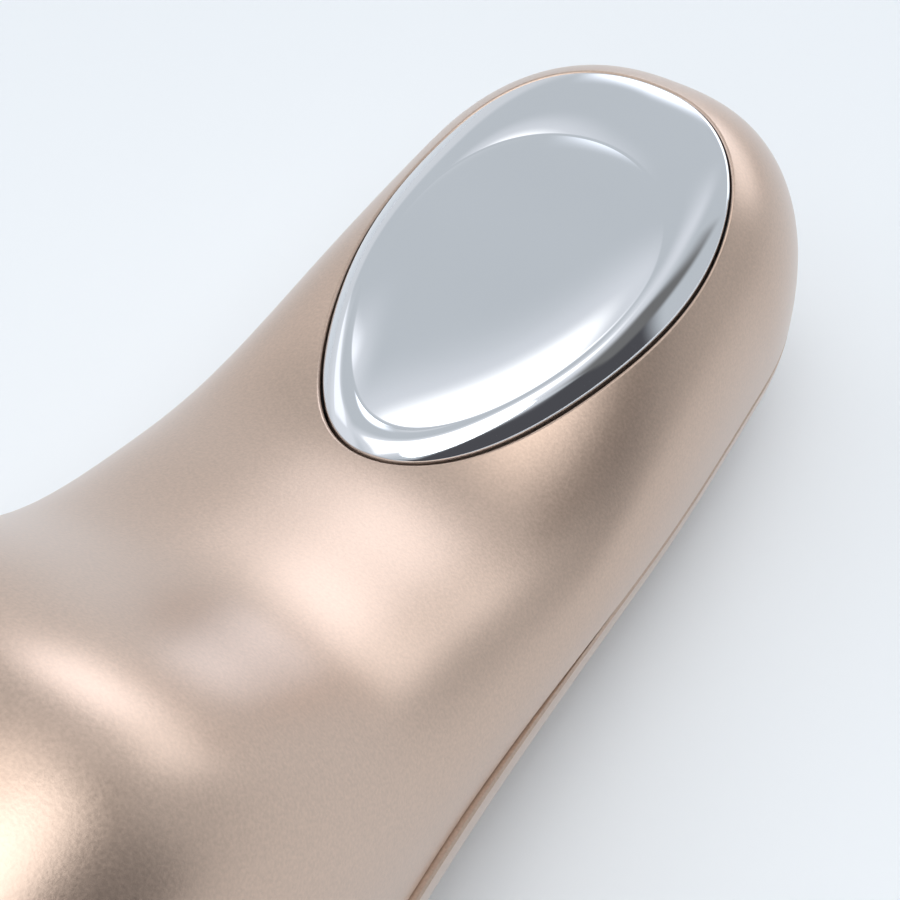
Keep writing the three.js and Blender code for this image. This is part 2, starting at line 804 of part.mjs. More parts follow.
function roundedRectangle(x0, x1, y0, y1, radius) {
  const shape = new THREE.Shape();
  shape.moveTo(x0 + radius, y0);
  shape.lineTo(x1 - radius, y0);
  shape.quadraticCurveTo(x1, y0, x1, y0 + radius);
  shape.lineTo(x1, y1 - radius);
  shape.quadraticCurveTo(x1, y1, x1 - radius, y1);
  shape.lineTo(x0 + radius, y1);
  shape.quadraticCurveTo(x0, y1, x0, y1 - radius);
  shape.lineTo(x0, y0 + radius);
  shape.quadraticCurveTo(x0, y0, x0 + radius, y0);
  return shape;
}

function mainBoard() {
  const half = boardWidth / 2;
  const outline = roundedRectangle(-half, half, boardTailEnd, boardHeadEnd, boardCornerRadius);
  const holes = boardScrews.map(([x, y]) => {
    return upright(screwHole, x, y, boardBottom - overrun, boardTop + overrun);
  });
  return prism(outline, boardBottom, boardTop).subtract(joined(holes));
}

piece('main_board', mainBoard(), 'board');
pieces('board_screw', boardScrews.map(([x, y]) => {
  return screw(x, y, boardBottom - clearance, boardThickness + 2 * clearance + boardScrewBite);
}), 'steel');

// Parts on the board: controller and coil above it, buzzer and battery plug
const partBase = boardTop + clearance;
const coilY = boardHeadEnd - boardScrewInset;
const chipX = (switchWidth + chipSize) / 2 + 2 * clearance;
const chipHalf = chipSize / 2;
piece('controller_chip', box(
  chipX - chipHalf, chipX + chipHalf,
  levelButtonY - chipHalf, levelButtonY + chipHalf,
  partBase, partBase + chipHeight,
), 'switchBlack');

function boosterCoil() {
  const profile = [
    new THREE.Vector2(0, 0),
    new THREE.Vector2(coilRadius, 0),
    new THREE.Vector2(coilRadius, coilFlangeHeight),
    new THREE.Vector2(coilCoreRadius, coilFlangeHeight),
    new THREE.Vector2(coilCoreRadius, coilHeight - coilFlangeHeight),
    new THREE.Vector2(coilRadius, coilHeight - coilFlangeHeight),
    new THREE.Vector2(coilRadius, coilHeight),
    new THREE.Vector2(0, coilHeight),
  ];
  const geometry = new THREE.LatheGeometry(profile, largeRound);
  geometry.rotateX(Math.PI / 2);
  geometry.translate(0, coilY - coilRadius, partBase);
  return toSolid(geometry);
}

piece('booster_coil', boosterCoil(), 'copper');

const buzzerX = -windowLength / 2 - 2 * clearance - buzzerRadius;
const buzzerY = powerButtonY + powerButtonRadius + buzzerRadius + buttonFlange;
function buzzer() {
  const top = partBase + buzzerHeight;
  const body = upright(buzzerRadius, buzzerX, buzzerY, partBase, top, largeRound);
  return body.subtract(upright(buzzerPortRadius, buzzerX, buzzerY, top - buzzerPortRadius, top + overrun));
}

piece('buzzer', buzzer(), 'switchBlack');

// Battery plug under the board's head end
const socketTop = boardBottom - clearance;
const socketBottom = socketTop - plugHeight;
const socketY = boardHeadEnd - boardScrewInset;
piece('battery_plug', box(
  -plugLength / 2, plugLength / 2, socketY - plugWidth / 2, socketY + plugWidth / 2, socketBottom, socketTop,
), 'nylon');

// Battery in its cradle, screwed to seats on the floor of the rear cover
const batteryHeadEnd = batteryTailEnd + batteryLength;
const cradleHalf = batteryRadius + clearance + cradleWall;
const cradleTailEnd = batteryTailEnd - clearance - cradleWall;
const cradleHeadEnd = batteryHeadEnd + batteryNubHeight + clearance + cradleWall;
const cradleScrewYs = [cradleTailEnd - cradleTabLength / 2, cradleHeadEnd + cradleTabLength / 2];
const cradleSeat = Math.max(
  wall + seatBossHeight,
  floorHeight(cradleHalf, cradleTailEnd, wall),
  floorHeight(cradleTabWidth / 2, cradleTailEnd - cradleTabLength, wall),
);
const cradleBottom = cradleSeat + clearance;
const batteryAxisHeight = cradleBottom + cradleFloor + clearance + batteryRadius;

function batteryCell() {
  const can = lengthwise(batteryRadius, 0, batteryAxisHeight, batteryTailEnd, batteryHeadEnd);
  const nubEnds = [batteryHeadEnd - batteryNubHeight, batteryHeadEnd + batteryNubHeight];
  return can.add(lengthwise(batteryNubRadius, 0, batteryAxisHeight, ...nubEnds));
}

piece('battery_cell', batteryCell(), 'battery');

function batteryCradle() {
  const top = batteryAxisHeight + cradleSideHeight;
  const block = box(-cradleHalf, cradleHalf, cradleTailEnd, cradleHeadEnd, cradleBottom, top);
  const bayHalf = batteryRadius + clearance;
  const bayTail = batteryTailEnd - clearance;
  const bayHead = cradleHeadEnd - cradleWall;
  const bay = lengthwise(bayHalf, 0, batteryAxisHeight, bayTail, bayHead);
  const mouth = box(-bayHalf, bayHalf, bayTail, bayHead, batteryAxisHeight, top + overrun);
  const tabX = cradleTabWidth / 2;
  const tabs = box(
    -tabX, tabX, cradleTailEnd - cradleTabLength, cradleHeadEnd + cradleTabLength,
    cradleBottom, cradleBottom + cradleTabThickness,
  );
  const holes = cradleScrewYs.map((y) => upright(screwHole, 0, y, 0, top));
  return block.add(tabs).subtract(bay).subtract(mouth).subtract(joined(holes));
}

piece('battery_cradle', batteryCradle(), 'carrier');
pieces('cradle_screw', cradleScrewYs.map((y) => {
  const seat = cradleBottom + cradleTabThickness + clearance;
  return screw(0, y, seat, cradleTabThickness + clearance + seatScrewBite, false);
}), 'steel');

// Vibration motor along the head, with an off-centre weight on its shaft
const motorHeadEnd = motorTailEnd + motorLength;
const bracketY0 = motorTailEnd + (motorLength - bracketLength) / 2;
const bracketY1 = bracketY0 + bracketLength;
const bracketMiddle = (bracketY0 + bracketY1) / 2;
const bracketTabX = bracketWidth / 2 + bracketTabWidth;
const bracketScrewX = bracketWidth / 2 + bracketTabWidth / 2;
const bracketSeat = Math.max(wall + seatBossHeight, floorHeight(bracketTabX, bracketMiddle, wall));
const bracketBottom = bracketSeat + clearance;
const motorAxisHeight = bracketBottom + bracketFloor + clearance + motorRadius;

function alongY(profile, y, z, sides = largeRound) {
  const geometry = new THREE.LatheGeometry(profile, sides);
  geometry.translate(0, y, z);
  return toSolid(geometry);
}

piece('vibration_motor', alongY([
  new THREE.Vector2(0, 0),
  new THREE.Vector2(motorRadius, 0),
  new THREE.Vector2(motorRadius, motorLength),
  new THREE.Vector2(shaftRadius + clearance, motorLength),
  new THREE.Vector2(shaftRadius + clearance, motorLength - motorBoreDepth),
  new THREE.Vector2(0, motorLength - motorBoreDepth),
], motorTailEnd, motorAxisHeight), 'steel');

const shaftEnds = [motorHeadEnd - motorBoreDepth + clearance, motorHeadEnd + shaftReach];
piece('motor_shaft', lengthwise(shaftRadius, 0, motorAxisHeight, ...shaftEnds, smallRound), 'steel');

function eccentricWeight() {
  const y0 = motorHeadEnd + weightStandoff;
  const y1 = y0 + weightThickness;
  const disc = lengthwise(weightRadius, 0, motorAxisHeight, y0, y1);
  const past = [y0 - overrun, y1 + overrun];
  const upper = box(
    -weightRadius, weightRadius, ...past, motorAxisHeight, motorAxisHeight + 2 * weightRadius,
  );
  const hub = lengthwise(weightHubRadius, 0, motorAxisHeight, y0, y1, smallRound);
  const bore = lengthwise(shaftRadius + clearance, 0, motorAxisHeight, ...past, smallRound);
  return disc.subtract(upper).add(hub).subtract(bore);
}

piece('eccentric_weight', eccentricWeight(), 'gold');

function motorBracket() {
  const half = bracketWidth / 2;
  const block = box(-half, half, bracketY0, bracketY1, bracketBottom, motorAxisHeight + motorRadius / 2);
  const past = [bracketY0 - overrun, bracketY1 + overrun];
  const bay = lengthwise(motorRadius + clearance, 0, motorAxisHeight, ...past);
  const neck = motorRadius * bracketMouthShare + clearance;
  const mouth = box(-neck, neck, ...past, motorAxisHeight, motorAxisHeight + overrun);
  const tabs = box(
    -bracketTabX, bracketTabX, bracketY0, bracketY1, bracketBottom, bracketBottom + bracketTabThickness,
  );
  const holes = [-1, 1].map((side) => upright(screwHole, side * bracketScrewX, bracketMiddle, 0, bodyHeight));
  return block.add(tabs).subtract(bay).subtract(mouth).subtract(joined(holes));
}

piece('motor_bracket', motorBracket(), 'carrier');
pieces('bracket_screw', [-1, 1].map((side) => {
  const seat = bracketBottom + bracketTabThickness + clearance;
  const bite = bracketTabThickness + clearance + seatScrewBite;
  return screw(side * bracketScrewX, bracketMiddle, seat, bite, false);
}), 'steel');

// Hand contact, set into the back of the handle, with a stud through the cover
function ellipse(width, length, centreY) {
  const shape = new THREE.Shape();
  shape.absellipse(0, centreY, width / 2, length / 2, 0, 2 * Math.PI);
  return shape;
}

const contactOuterHull = hull(contactRecess);
const contactInnerHull = hull(contactRecess + contactSheet);
const pocketHull = hull(contactRecess + contactSheet + clearance);
const contactPrism = (margin) => {
  const outline = ellipse(contactWidth + 2 * margin, contactLength + 2 * margin, contactY);
  return prism(outline, -overrun, 2 * wall);
};

const contactStudTop = cradleBottom - clearance;
const contactStud = upright(contactStudRadius, 0, contactY, contactRecess + contactSheet / 2, contactStudTop);
piece('hand_contact', contactPrism(0).intersect(contactOuterHull).subtract(contactInnerHull)
  .add(contactStud), 'chrome');

// Base cap in the tail, with two charging pins and the small board behind them
const capHull = hull(wall + clearance);
const capInnerY = -halfLength + capDepth;
const capZ = (roofHeight(0, -halfLength) + floorHeight(0, -halfLength)) / 2;
const chargePins = [-1, 1].map((side) => side * chargePinSpacing / 2);

function baseCap() {
  const slice = box(-bodyWidth, bodyWidth, -bodyLength, capInnerY, 0, bodyHeight);
  const holes = chargePins.map((x) => {
    const narrow = lengthwise(
      chargePinRadius + clearance, x, capZ, -halfLength - overrun, capInnerY + overrun, smallRound,
    );
    const sinkY = capInnerY - chargePinHeadDepth - clearance;
    const wide = lengthwise(
      chargePinHeadRadius + clearance, x, capZ, sinkY, capInnerY + overrun, smallRound,
    );
    return narrow.add(wide);
  });
  return capHull.intersect(slice).subtract(joined(holes));
}

piece('base_cap', baseCap(), 'gasket');
pieces('charge_pin', chargePins.map((x) => {
  const pin = lengthwise(chargePinRadius, x, capZ, -halfLength + clearance, capInnerY, smallRound);
  const flange = lengthwise(
    chargePinHeadRadius, x, capZ, capInnerY - chargePinHeadDepth, capInnerY, smallRound,
  );
  return pin.add(flange);
}), 'gold');

const chargeBoardY = capInnerY + clearance;
piece('charge_board', box(
  -chargeBoardWidth / 2, chargeBoardWidth / 2, chargeBoardY, chargeBoardY + chargeBoardThickness,
  capZ - chargeBoardHeight / 2, capZ + chargeBoardHeight / 2,
), 'board');

// Case screws: wells in the rear cover, bosses in the front cover, on both sides of the body
const caseScrews = [neckScrewY, tailScrewY].flatMap((y) => {
  const reaches = [y - bossRadius, y + bossRadius].map((place) => sectionAt(place, wall, 0).reach);
  const x = Math.min(...reaches) - sealThickness - 3 * clearance - bossRadius;
  return [[-x, y], [x, y]];
});
const caseScrewSeat = (y) => partingHeight(y) - caseScrewDepth;

pieces('case_screw', caseScrews.map(([x, y]) => {
  return screw(x, y, caseScrewSeat(y) - clearance, caseScrewDepth + caseScrewBite);
}), 'steel');

pieces('screw_plug', caseScrews.map(([x, y]) => {
  const top = floorHeight(x, y) + plugDepth;
  return upright(screwHeadRadius, x, y, -overrun, top).intersect(flushHull);
}), 'plug');

// Seal behind the parting line
function shellSeal() {
  const outer = hull(wall + clearance);
  const inner = hull(wall + clearance + sealThickness);
  const band = partingSlab(-sealHalfHeight, true).intersect(partingSlab(sealHalfHeight, false));
  const tailCut = box(-bodyWidth, bodyWidth, -bodyLength, capInnerY + clearance, -overrun, 2 * bodyHeight);
  return outer.subtract(inner).intersect(band).subtract(tailCut);
}

piece('shell_seal', shellSeal(), 'seal');

// Front cover
function frontCover() {
  const bosses = [];
  const bores = [];
  caseScrews.forEach(([x, y]) => {
    bosses.push(upright(bossRadius, x, y, 0, 2 * bodyHeight));
    bores.push(upright(screwHole, x, y, 0, partingHeight(y) + caseScrewBite + clearance));
  });
  const hung = [
    ...boardScrews.map(([x, y]) => [x, y, boardTop + clearance, boardScrewBite]),
    ...[-1, 1].map((side) => [side * carrierScrewX, carrierScrewY, tabTop + clearance, carrierScrewBite]),
  ];
  hung.forEach(([x, y, bottom, bite]) => {
    bosses.push(upright(bossRadius, x, y, bottom, 2 * bodyHeight));
    bores.push(upright(screwHole, x, y, bottom - overrun, bottom + bite + clearance));
  });
  const hookTop = roofHeight(0, bluntEndY) - carrierBottom - clearance;
  const hook = box(
    -carrierHookWidth / 2, carrierHookWidth / 2, bluntEndY - carrierHookHeight, halfLength,
    hookTop - carrierHookHeight, hookTop,
  );
  const shell = outerHull.subtract(innerHull);
  const opening = rimPlug([[plateGap, overrun], [plateGap, -carrierBottom - overrun / 2]]);
  const pocket = rimPlug([[pocketOffset, -pocketTop], [pocketOffset, -carrierBottom - clearance]]);
  const lipped = pocket.intersect(lipHull);
  const holes = controls.map((control) => {
    return upright(control.radius + clearance, 0, control.y, ...topSpan, largeRound);
  });
  controls.filter((control) => control.ringed).forEach((control) => {
    const seat = upright(powerRingRadius + clearance, 0, control.y, ...topSpan, largeRound);
    holes.push(seat.subtract(ringSeatHull));
  });
  holes.push(windowBlock(clearance, ...topSpan));
  return shell
    .add(joined(bosses).intersect(bossHull))
    .subtract(opening)
    .subtract(lipped)
    .add(hook.intersect(bossHull))
    .subtract(joined(bores))
    .subtract(joined(holes))
    .intersect(aboveParting);
}

piece('front_cover', frontCover(), 'champagne');

// Rear cover
function rearCover() {
  const bosses = [];
  const bores = [];
  caseScrews.forEach(([x, y]) => {
    const seat = caseScrewSeat(y);
    bosses.push(upright(bossRadius, x, y, 0, bodyHeight));
    bores.push(upright(screwHole, x, y, 0, bodyHeight));
    bores.push(upright(screwHeadRadius + clearance, x, y, -overrun, seat));
  });
  const seats = [
    ...cradleScrewYs.map((y) => [0, y, cradleSeat]),
    ...[-1, 1].map((side) => [side * bracketScrewX, bracketMiddle, bracketSeat]),
  ];
  seats.forEach(([x, y, top]) => {
    bosses.push(upright(bossRadius, x, y, 0, top));
    bores.push(upright(screwHole, x, y, top - seatScrewBite - clearance, top + overrun));
  });
  const shell = outerLedgeHull.subtract(innerHull);
  const pocket = contactPrism(clearance).subtract(pocketHull);
  const studHole = upright(contactStudRadius + clearance, 0, contactY, 0, wall + clearance);
  return shell
    .add(joined(bosses).intersect(bossHull))
    .subtract(pocket)
    .subtract(studHole)
    .subtract(joined(bores))
    .intersect(belowParting);
}

piece('rear_cover', rearCover(), 'champagne');

// Wires
function wire(points) {
  const path = new THREE.CatmullRomCurve3(points.map((point) => new THREE.Vector3(...point)));
  const ring = new THREE.Shape();
  for (let side = 0; side < wireSides; side += 1) {
    const turn = (2 * Math.PI * side) / wireSides;
    const x = wireRadius * Math.cos(turn);
    const y = wireRadius * Math.sin(turn);
    if (side === 0) {
      ring.moveTo(x, y);
    } else {
      ring.lineTo(x, y);
    }
  }
  const options = { steps: wireSteps, bevelEnabled: false, extrudePath: path };
  return toSolid(new THREE.ExtrudeGeometry(ring, options));
}

const leadStartY = boardHeadEnd + clearance + wireRadius;
const neckLeadZ = tabBottom - clearance - screwHeadHeight - clearance - wireRadius;
const heaterLeadY = plateauY - plateauLength / 4;
const heaterLeadZ = plateauHeight(heaterLeadY) - heaterBottom - clearance;
const leadLift = boardBottom - boardThickness;

piece('plate_lead', wire([
  [0, leadStartY, leadLift],
  [0, leadStartY + wall, leadLift - wall],
  [0, narrowEndY - carrierTabLength, neckLeadZ],
  [0, narrowEndY + carrierBand / 2, neckLeadZ],
  [0, heaterLeadY - wall, heaterLeadZ - 2 * wall],
  [0, heaterLeadY, heaterLeadZ],
]), 'wire');

const motorLeadX = boardWidth / 4;
piece('motor_lead', wire([
  [motorLeadX, leadStartY, leadLift],
  [motorLeadX, leadStartY + wall, leadLift - wall],
  [motorLeadX / 2, (leadStartY + motorTailEnd) / 2, (leadLift + motorAxisHeight) / 2],
  [0, motorTailEnd - 2 * wall, motorAxisHeight],
  [0, motorTailEnd - clearance, motorAxisHeight],
]), 'wire');

export default object;
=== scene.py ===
"""Facial skincare device on a pale floor: smooth shells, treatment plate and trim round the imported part."""

import json
import math

import bpy
import numpy as np
from mathutils import Matrix, Vector


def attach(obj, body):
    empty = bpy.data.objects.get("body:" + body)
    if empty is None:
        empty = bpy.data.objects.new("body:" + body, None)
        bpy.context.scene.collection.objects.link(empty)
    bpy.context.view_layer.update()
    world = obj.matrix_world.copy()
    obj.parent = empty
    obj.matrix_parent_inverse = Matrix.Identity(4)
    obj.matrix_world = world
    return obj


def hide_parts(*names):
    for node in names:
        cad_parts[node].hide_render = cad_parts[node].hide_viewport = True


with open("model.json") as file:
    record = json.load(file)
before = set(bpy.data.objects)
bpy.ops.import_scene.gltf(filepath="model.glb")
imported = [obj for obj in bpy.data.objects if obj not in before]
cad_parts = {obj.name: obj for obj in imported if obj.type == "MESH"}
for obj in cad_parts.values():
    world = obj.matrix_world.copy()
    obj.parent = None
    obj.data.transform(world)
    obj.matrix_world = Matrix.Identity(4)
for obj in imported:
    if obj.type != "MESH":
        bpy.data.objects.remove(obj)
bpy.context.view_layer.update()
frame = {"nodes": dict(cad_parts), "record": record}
MM = 0.001

# Form of the body, in millimetres, as in the part
LENGTH, WIDTH, HEIGHT = 185.0, 51.2, 56.5
HALF = LENGTH / 2
STATION_SHARES = np.array([
    [-0.5, 0.645, 0.336, 0.159],
    [-0.405, 0.781, 0.371, 0.071],
    [-0.3135, 0.879, 0.399, 0.019],
    [-0.2324, 0.957, 0.407, 0],
    [-0.108, 1, 0.378, 0],
    [0.015, 0.941, 0.331, 0],
    [0.1395, 0.93, 0.287, 0],
    [0.239, 0.926, 0.256, 0],
    [0.3384, 0.898, 0.2545, 0.009],
    [0.448, 0.848, 0.26, 0.058],
    [0.5, 0.805, 0.265, 0.103],
])
CREST_SHARES = np.array([
    [-0.5, 0.531], [-0.405, 0.729], [-0.3135, 0.892], [-0.254, 0.965], [-0.1946, 0.9965], [-0.1405, 1],
    [-0.1108, 0.9876], [-0.0892, 0.9575], [-0.0649, 0.901], [-0.0324, 0.802], [0, 0.708], [0.0324, 0.646],
    [0.0757, 0.593], [0.1395, 0.54], [0.239, 0.5965], [0.3384, 0.6585], [0.448, 0.687], [0.5, 0.6955],
])
TIP_ROUND = 0.147 * LENGTH
TIP_POWER = 2.25
TAIL_ROUND = 0.0757 * LENGTH
TAIL_RUNOUT = 0.0189 * LENGTH
TAIL_POWER = 2.4
UPPER_POWER = 2.5
LOWER_POWER = 2.2
BELLY_FLAT = 0.8
LEDGE = 0.6
LEDGE_END = 0.2054 * LENGTH
WALL = 2.0
PARTING_GAP = 0.4
PARTING_BREAK = 0.22
HOLE_BREAK = 0.18
UNDER_BREAK = 0.15
CLEAR = 0.3
PAST = 2.0

# Treatment plate
PLATE_W = 0.629 * WIDTH
PLATE_L = 0.2984 * LENGTH
PLATE_EGG = 0.2
PLATE_Y = HALF - 0.2211 * LENGTH
PLATE_LIP = 1.1
PLATE_SHEET = 1.0
SKIRT = 3.0
RIM_DROP = 0.12
HOLE_DEPTH = 14.0
TOP_W = 0.493 * WIDTH
TOP_L = 0.222 * LENGTH
TOP_EGG = 0.188
TOP_Y = PLATE_Y - 0.0185 * LENGTH
EDGE_RISE = 0.3
TOP_CROWN = 1.0
BULGE = 0.5
GASKET = (1.4, 1.5, 1.3)
RIM_FILLET = 0.42
SEEN_GAP = 0.24

# Screws
TAIL_SCREW_Y = 13.5 - HALF
NECK_SCREW_Y = PLATE_Y - PLATE_L / 2 - 0.1081 * LENGTH
BOSS_R = 2.9
LIP = 1.2
PLUG_R = 2.0
PLUG_DEPTH = 1.5
PLUG_SEAT = 1.6

# Trim
MODE_Y = 0.1222 * LENGTH - HALF
POWER_R, SMALL_R, FLANGE = 6.0, 3.6, 1.1
BUTTON_GAP = 0.6
LEVEL_Y = MODE_Y + 2 * (SMALL_R + FLANGE) + BUTTON_GAP
POWER_Y = LEVEL_Y + POWER_R + SMALL_R + 2 * FLANGE + BUTTON_GAP
BUTTON_DEPTH = 3.0
BUTTON_FILLET = 0.35
PROUD = 0.3
RING_R = POWER_R + CLEAR + 1
RING_ROUND = 0.22
RING_TOP, RING_FOOT = -0.37, -1.1
WINDOW = (5.0, 1.8)
WINDOW_CORNER = 0.45
WINDOW_DEPTH = 2.4
WINDOW_FILLET = 0.15
WINDOW_Y = POWER_Y + RING_R + CLEAR + 1 + WINDOW[1] / 2
CONTACT_W = 15.0
CONTACT_L = 0.2378 * LENGTH
CONTACT_Y = 0.3703 * LENGTH - HALF
CONTACT_RECESS = 0.2
CONTACT_DEPTH = 1.0
CONTACT_FLOOR = 1.2
FACE_FILLET = 0.2
CAP_DEPTH = 3.0
CAP_FILLET = 0.4
PIN_R = 1.5
PIN_X = 3.5
PIN_DOME = 0.35

# Fineness of the meshes, and how far a point may lie from the true form that its normal follows
STATIONS = 230
SIDES = 160
INNER_STATIONS = 60
EGG_STEPS = 360
ON_FORM = 0.02


def station_curve(rows, column, size):
    """Smooth curve of no bending at its ends, through one column of the rows."""
    xs = rows[:, 0] * LENGTH
    ys = rows[:, column] * size
    n = len(xs)
    matrix = np.eye(n)
    right = np.zeros(n)
    for i in range(1, n - 1):
        before, after = xs[i] - xs[i - 1], xs[i + 1] - xs[i]
        matrix[i, i - 1:i + 2] = before, 2 * (before + after), after
        right[i] = 6 * ((ys[i + 1] - ys[i]) / after - (ys[i] - ys[i - 1]) / before)
    bend = np.linalg.solve(matrix, right)

    def curve(y):
        i = np.clip(np.searchsorted(xs, y) - 1, 0, n - 2)
        gap, ahead, past = xs[i + 1] - xs[i], xs[i + 1] - y, y - xs[i]
        curved = (bend[i] * ahead ** 3 + bend[i + 1] * past ** 3) / (6 * gap)
        left = (ys[i] / gap - bend[i] * gap / 6) * ahead
        return curved + left + (ys[i + 1] / gap - bend[i + 1] * gap / 6) * past

    return curve


half_width = station_curve(STATION_SHARES, 1, WIDTH / 2)
parting = station_curve(STATION_SHARES, 2, HEIGHT)
belly = station_curve(STATION_SHARES, 3, HEIGHT)
crest = station_curve(CREST_SHARES, 1, HEIGHT)


def section(y, inset=0.0, ledge=0.0):
    """Parting height, reach, rise and drop of the body's section at y."""
    y = np.asarray(y, float)
    tip = np.clip((y - (HALF - TIP_ROUND)) / (TIP_ROUND - inset), 0, 1)
    tail = np.clip((TAIL_ROUND - HALF - y) / (TAIL_ROUND + TAIL_RUNOUT), 0, 1)
    close = (1 - tip ** TIP_POWER) ** (1 / TIP_POWER) * (1 - tail ** TAIL_POWER) ** (1 / TAIL_POWER)
    share = np.clip((LEDGE_END - y) / LEDGE_END, 0, 1)
    step = LEDGE * share * share * (3 - 2 * share)
    middle = parting(y)
    return (
        middle,
        (half_width(y) + ledge * step - inset) * close,
        (crest(y) - middle - inset) * close,
        (middle - (belly(y) - BELLY_FLAT) - inset) * close,
    )


def roof(x, y, inset=0.0):
    """Height of the body's upper surface, or of one that lies an inset within it."""
    middle, reach, rise, _ = section(y, inset)
    share = np.clip(np.abs(x) / reach, 0, 1)
    return middle + rise * (1 - share ** UPPER_POWER) ** (1 / UPPER_POWER)


def underside(x, y, inset=0.0):
    """Height of the body's lower surface, which is flat where the body rests."""
    middle, reach, _, drop = section(y, inset)
    share = np.clip(np.abs(x) / reach, 0, 1)
    return np.maximum(middle - drop * (1 - share ** LOWER_POWER) ** (1 / LOWER_POWER), inset)


def powered(value, exponent):
    return np.sign(value) * np.abs(value) ** exponent


def body_ring(y, inset, ledge, sides):
    """Points round the body's section at y."""
    middle, reach, rise, drop = section(y, inset, ledge)
    turn = 2 * np.pi * np.arange(sides) / sides
    c, s = np.cos(turn), np.sin(turn)
    up = s >= 0
    fullness = np.where(up, UPPER_POWER, LOWER_POWER)
    x = reach * powered(c, 2 / fullness)
    z = middle + np.where(up, rise, drop) * powered(s, 2 / fullness)
    return np.stack([x, np.full(sides, float(y)), z], 1)


# Meshes

def link(obj):
    bpy.context.scene.collection.objects.link(obj)
    return obj


def mesh_object(name, points, faces, smooth=True):
    """A closed mesh object from points in millimetres, turned outward."""
    points = np.asarray(points, float)
    volume = 0.0
    for face in faces:
        for k in range(1, len(face) - 1):
            volume += np.dot(points[face[0]], np.cross(points[face[k]], points[face[k + 1]]))
    if volume < 0:
        faces = [tuple(reversed(face)) for face in faces]
    mesh = bpy.data.meshes.new(name)
    mesh.from_pydata((points * MM).tolist(), [], [tuple(int(i) for i in face) for face in faces])
    mesh.update()
    mesh.polygons.foreach_set("use_smooth", [smooth] * len(mesh.polygons))
    return link(bpy.data.objects.new(name, mesh))


def loft(name, rings, first=None, last=None):
    """Rings of equal length joined into one closed body, with a fan on either end."""
    rings = np.asarray(rings, float)
    rows, count = rings.shape[:2]
    ends = [rings[0].mean(0) if first is None else first, rings[-1].mean(0) if last is None else last]
    points = np.concatenate([rings.reshape(-1, 3), np.asarray(ends, float)])
    side = np.arange(count)
    after = (side + 1) % count
    faces = []
    for row in range(rows - 1):
        a, b = row * count + side, row * count + after
        faces += list(zip(a, b, b + count, a + count))
    top = rows * count
    base = (rows - 1) * count
    faces += [(top, after[i], side[i]) for i in range(count)]
    faces += [(top + 1, base + side[i], base + after[i]) for i in range(count)]
    return mesh_object(name, points, faces)


def hoop(name, sections):
    """Sections of equal length joined into a ring that meets itself."""
    sections = np.asarray(sections, float)
    rows, count = sections.shape[:2]
    faces = []
    for row in range(rows):
        here, other = row * count, (row + 1) % rows * count
        for side in range(count):
            after = (side + 1) % count
            faces.append((here + side, here + after, other + after, other + side))
    return mesh_object(name, sections.reshape(-1, 3), faces)


def box(name, low, high):
    x0, y0, z0 = low
    x1, y1, z1 = high
    points = [(x, y, z) for z in (z0, z1) for x, y in ((x0, y0), (x1, y0), (x1, y1), (x0, y1))]
    faces = [(3, 2, 1, 0), (4, 5, 6, 7), (0, 1, 5, 4), (1, 2, 6, 5), (2, 3, 7, 6), (3, 0, 4, 7)]
    return mesh_object(name, points, faces, smooth=False)


def combine(obj, *steps):
    """Cuts, joins or meets obj with other closed objects, which are used up."""
    for other, operation in steps:
        step = obj.modifiers.new("step", "BOOLEAN")
        step.object = other
        step.operation = operation
        step.solver = "MANIFOLD"
    graph = bpy.context.evaluated_depsgraph_get()
    mesh = bpy.data.meshes.new_from_object(obj.evaluated_get(graph))
    mesh.name = obj.name
    obj.modifiers.clear()
    obj.data = mesh
    for other, _ in steps:
        bpy.data.objects.remove(other)
    return obj


def body_hull(inset, ledge=0.0, open_tail=False, stations=STATIONS, sides=SIDES):
    """The body as one closed form, or the hollow that lies an inset within it."""
    tail = -HALF - TAIL_RUNOUT / 2 if open_tail else -HALF
    tip = HALF - inset
    turn = np.pi * np.arange(stations) / stations
    ys = tail + (tip - tail) * (1 - np.cos(turn)) / 2
    rings = [body_ring(y, inset, ledge, sides) for y in ys]
    hull = loft("hull", rings, last=(0, tip, float(parting(tip))))
    flat = box("flat", (-WIDTH, -LENGTH, inset), (WIDTH, LENGTH, 2 * HEIGHT))
    return combine(hull, (flat, "INTERSECT"))


def parting_slab(offset, above):
    """All that lies above or below the parting line, moved up by an offset."""
    ys = np.linspace(-HALF - 5 * PAST, HALF + 5 * PAST, 160)
    heights = parting(np.clip(ys, -HALF, HALF)) + offset
    far = 2 * HEIGHT if above else -HEIGHT
    rings = []
    for y, z in zip(ys, heights):
        rings.append([(-2 * WIDTH, y, z), (2 * WIDTH, y, z), (2 * WIDTH, y, far), (-2 * WIDTH, y, far)])
    return loft("slab", rings)


# Outlines in plan: each gives x and y at a turn, moved out by an offset

def egg(turn, width, length, share, centre, offset):
    c, s = np.cos(turn), np.sin(turn)
    x = width / 2 * c * (1 + share * s)
    y = length / 2 * s
    dx = width / 2 * (-s + share * (c * c - s * s))
    dy = length / 2 * c
    slope = np.hypot(dx, dy)
    return x + offset * dy / slope, centre + y - offset * dx / slope


def plate_outline(turn, offset=0.0):
    return egg(turn, PLATE_W, PLATE_L, PLATE_EGG, PLATE_Y, offset)


def circle_outline(radius, x, y):
    def outline(turn, offset=0.0):
        return x + (radius + offset) * np.cos(turn), y + (radius + offset) * np.sin(turn)
    return outline


def ellipse_outline(width, length, y):
    return lambda turn, offset=0.0: egg(turn, width, length, 0.0, y, offset)


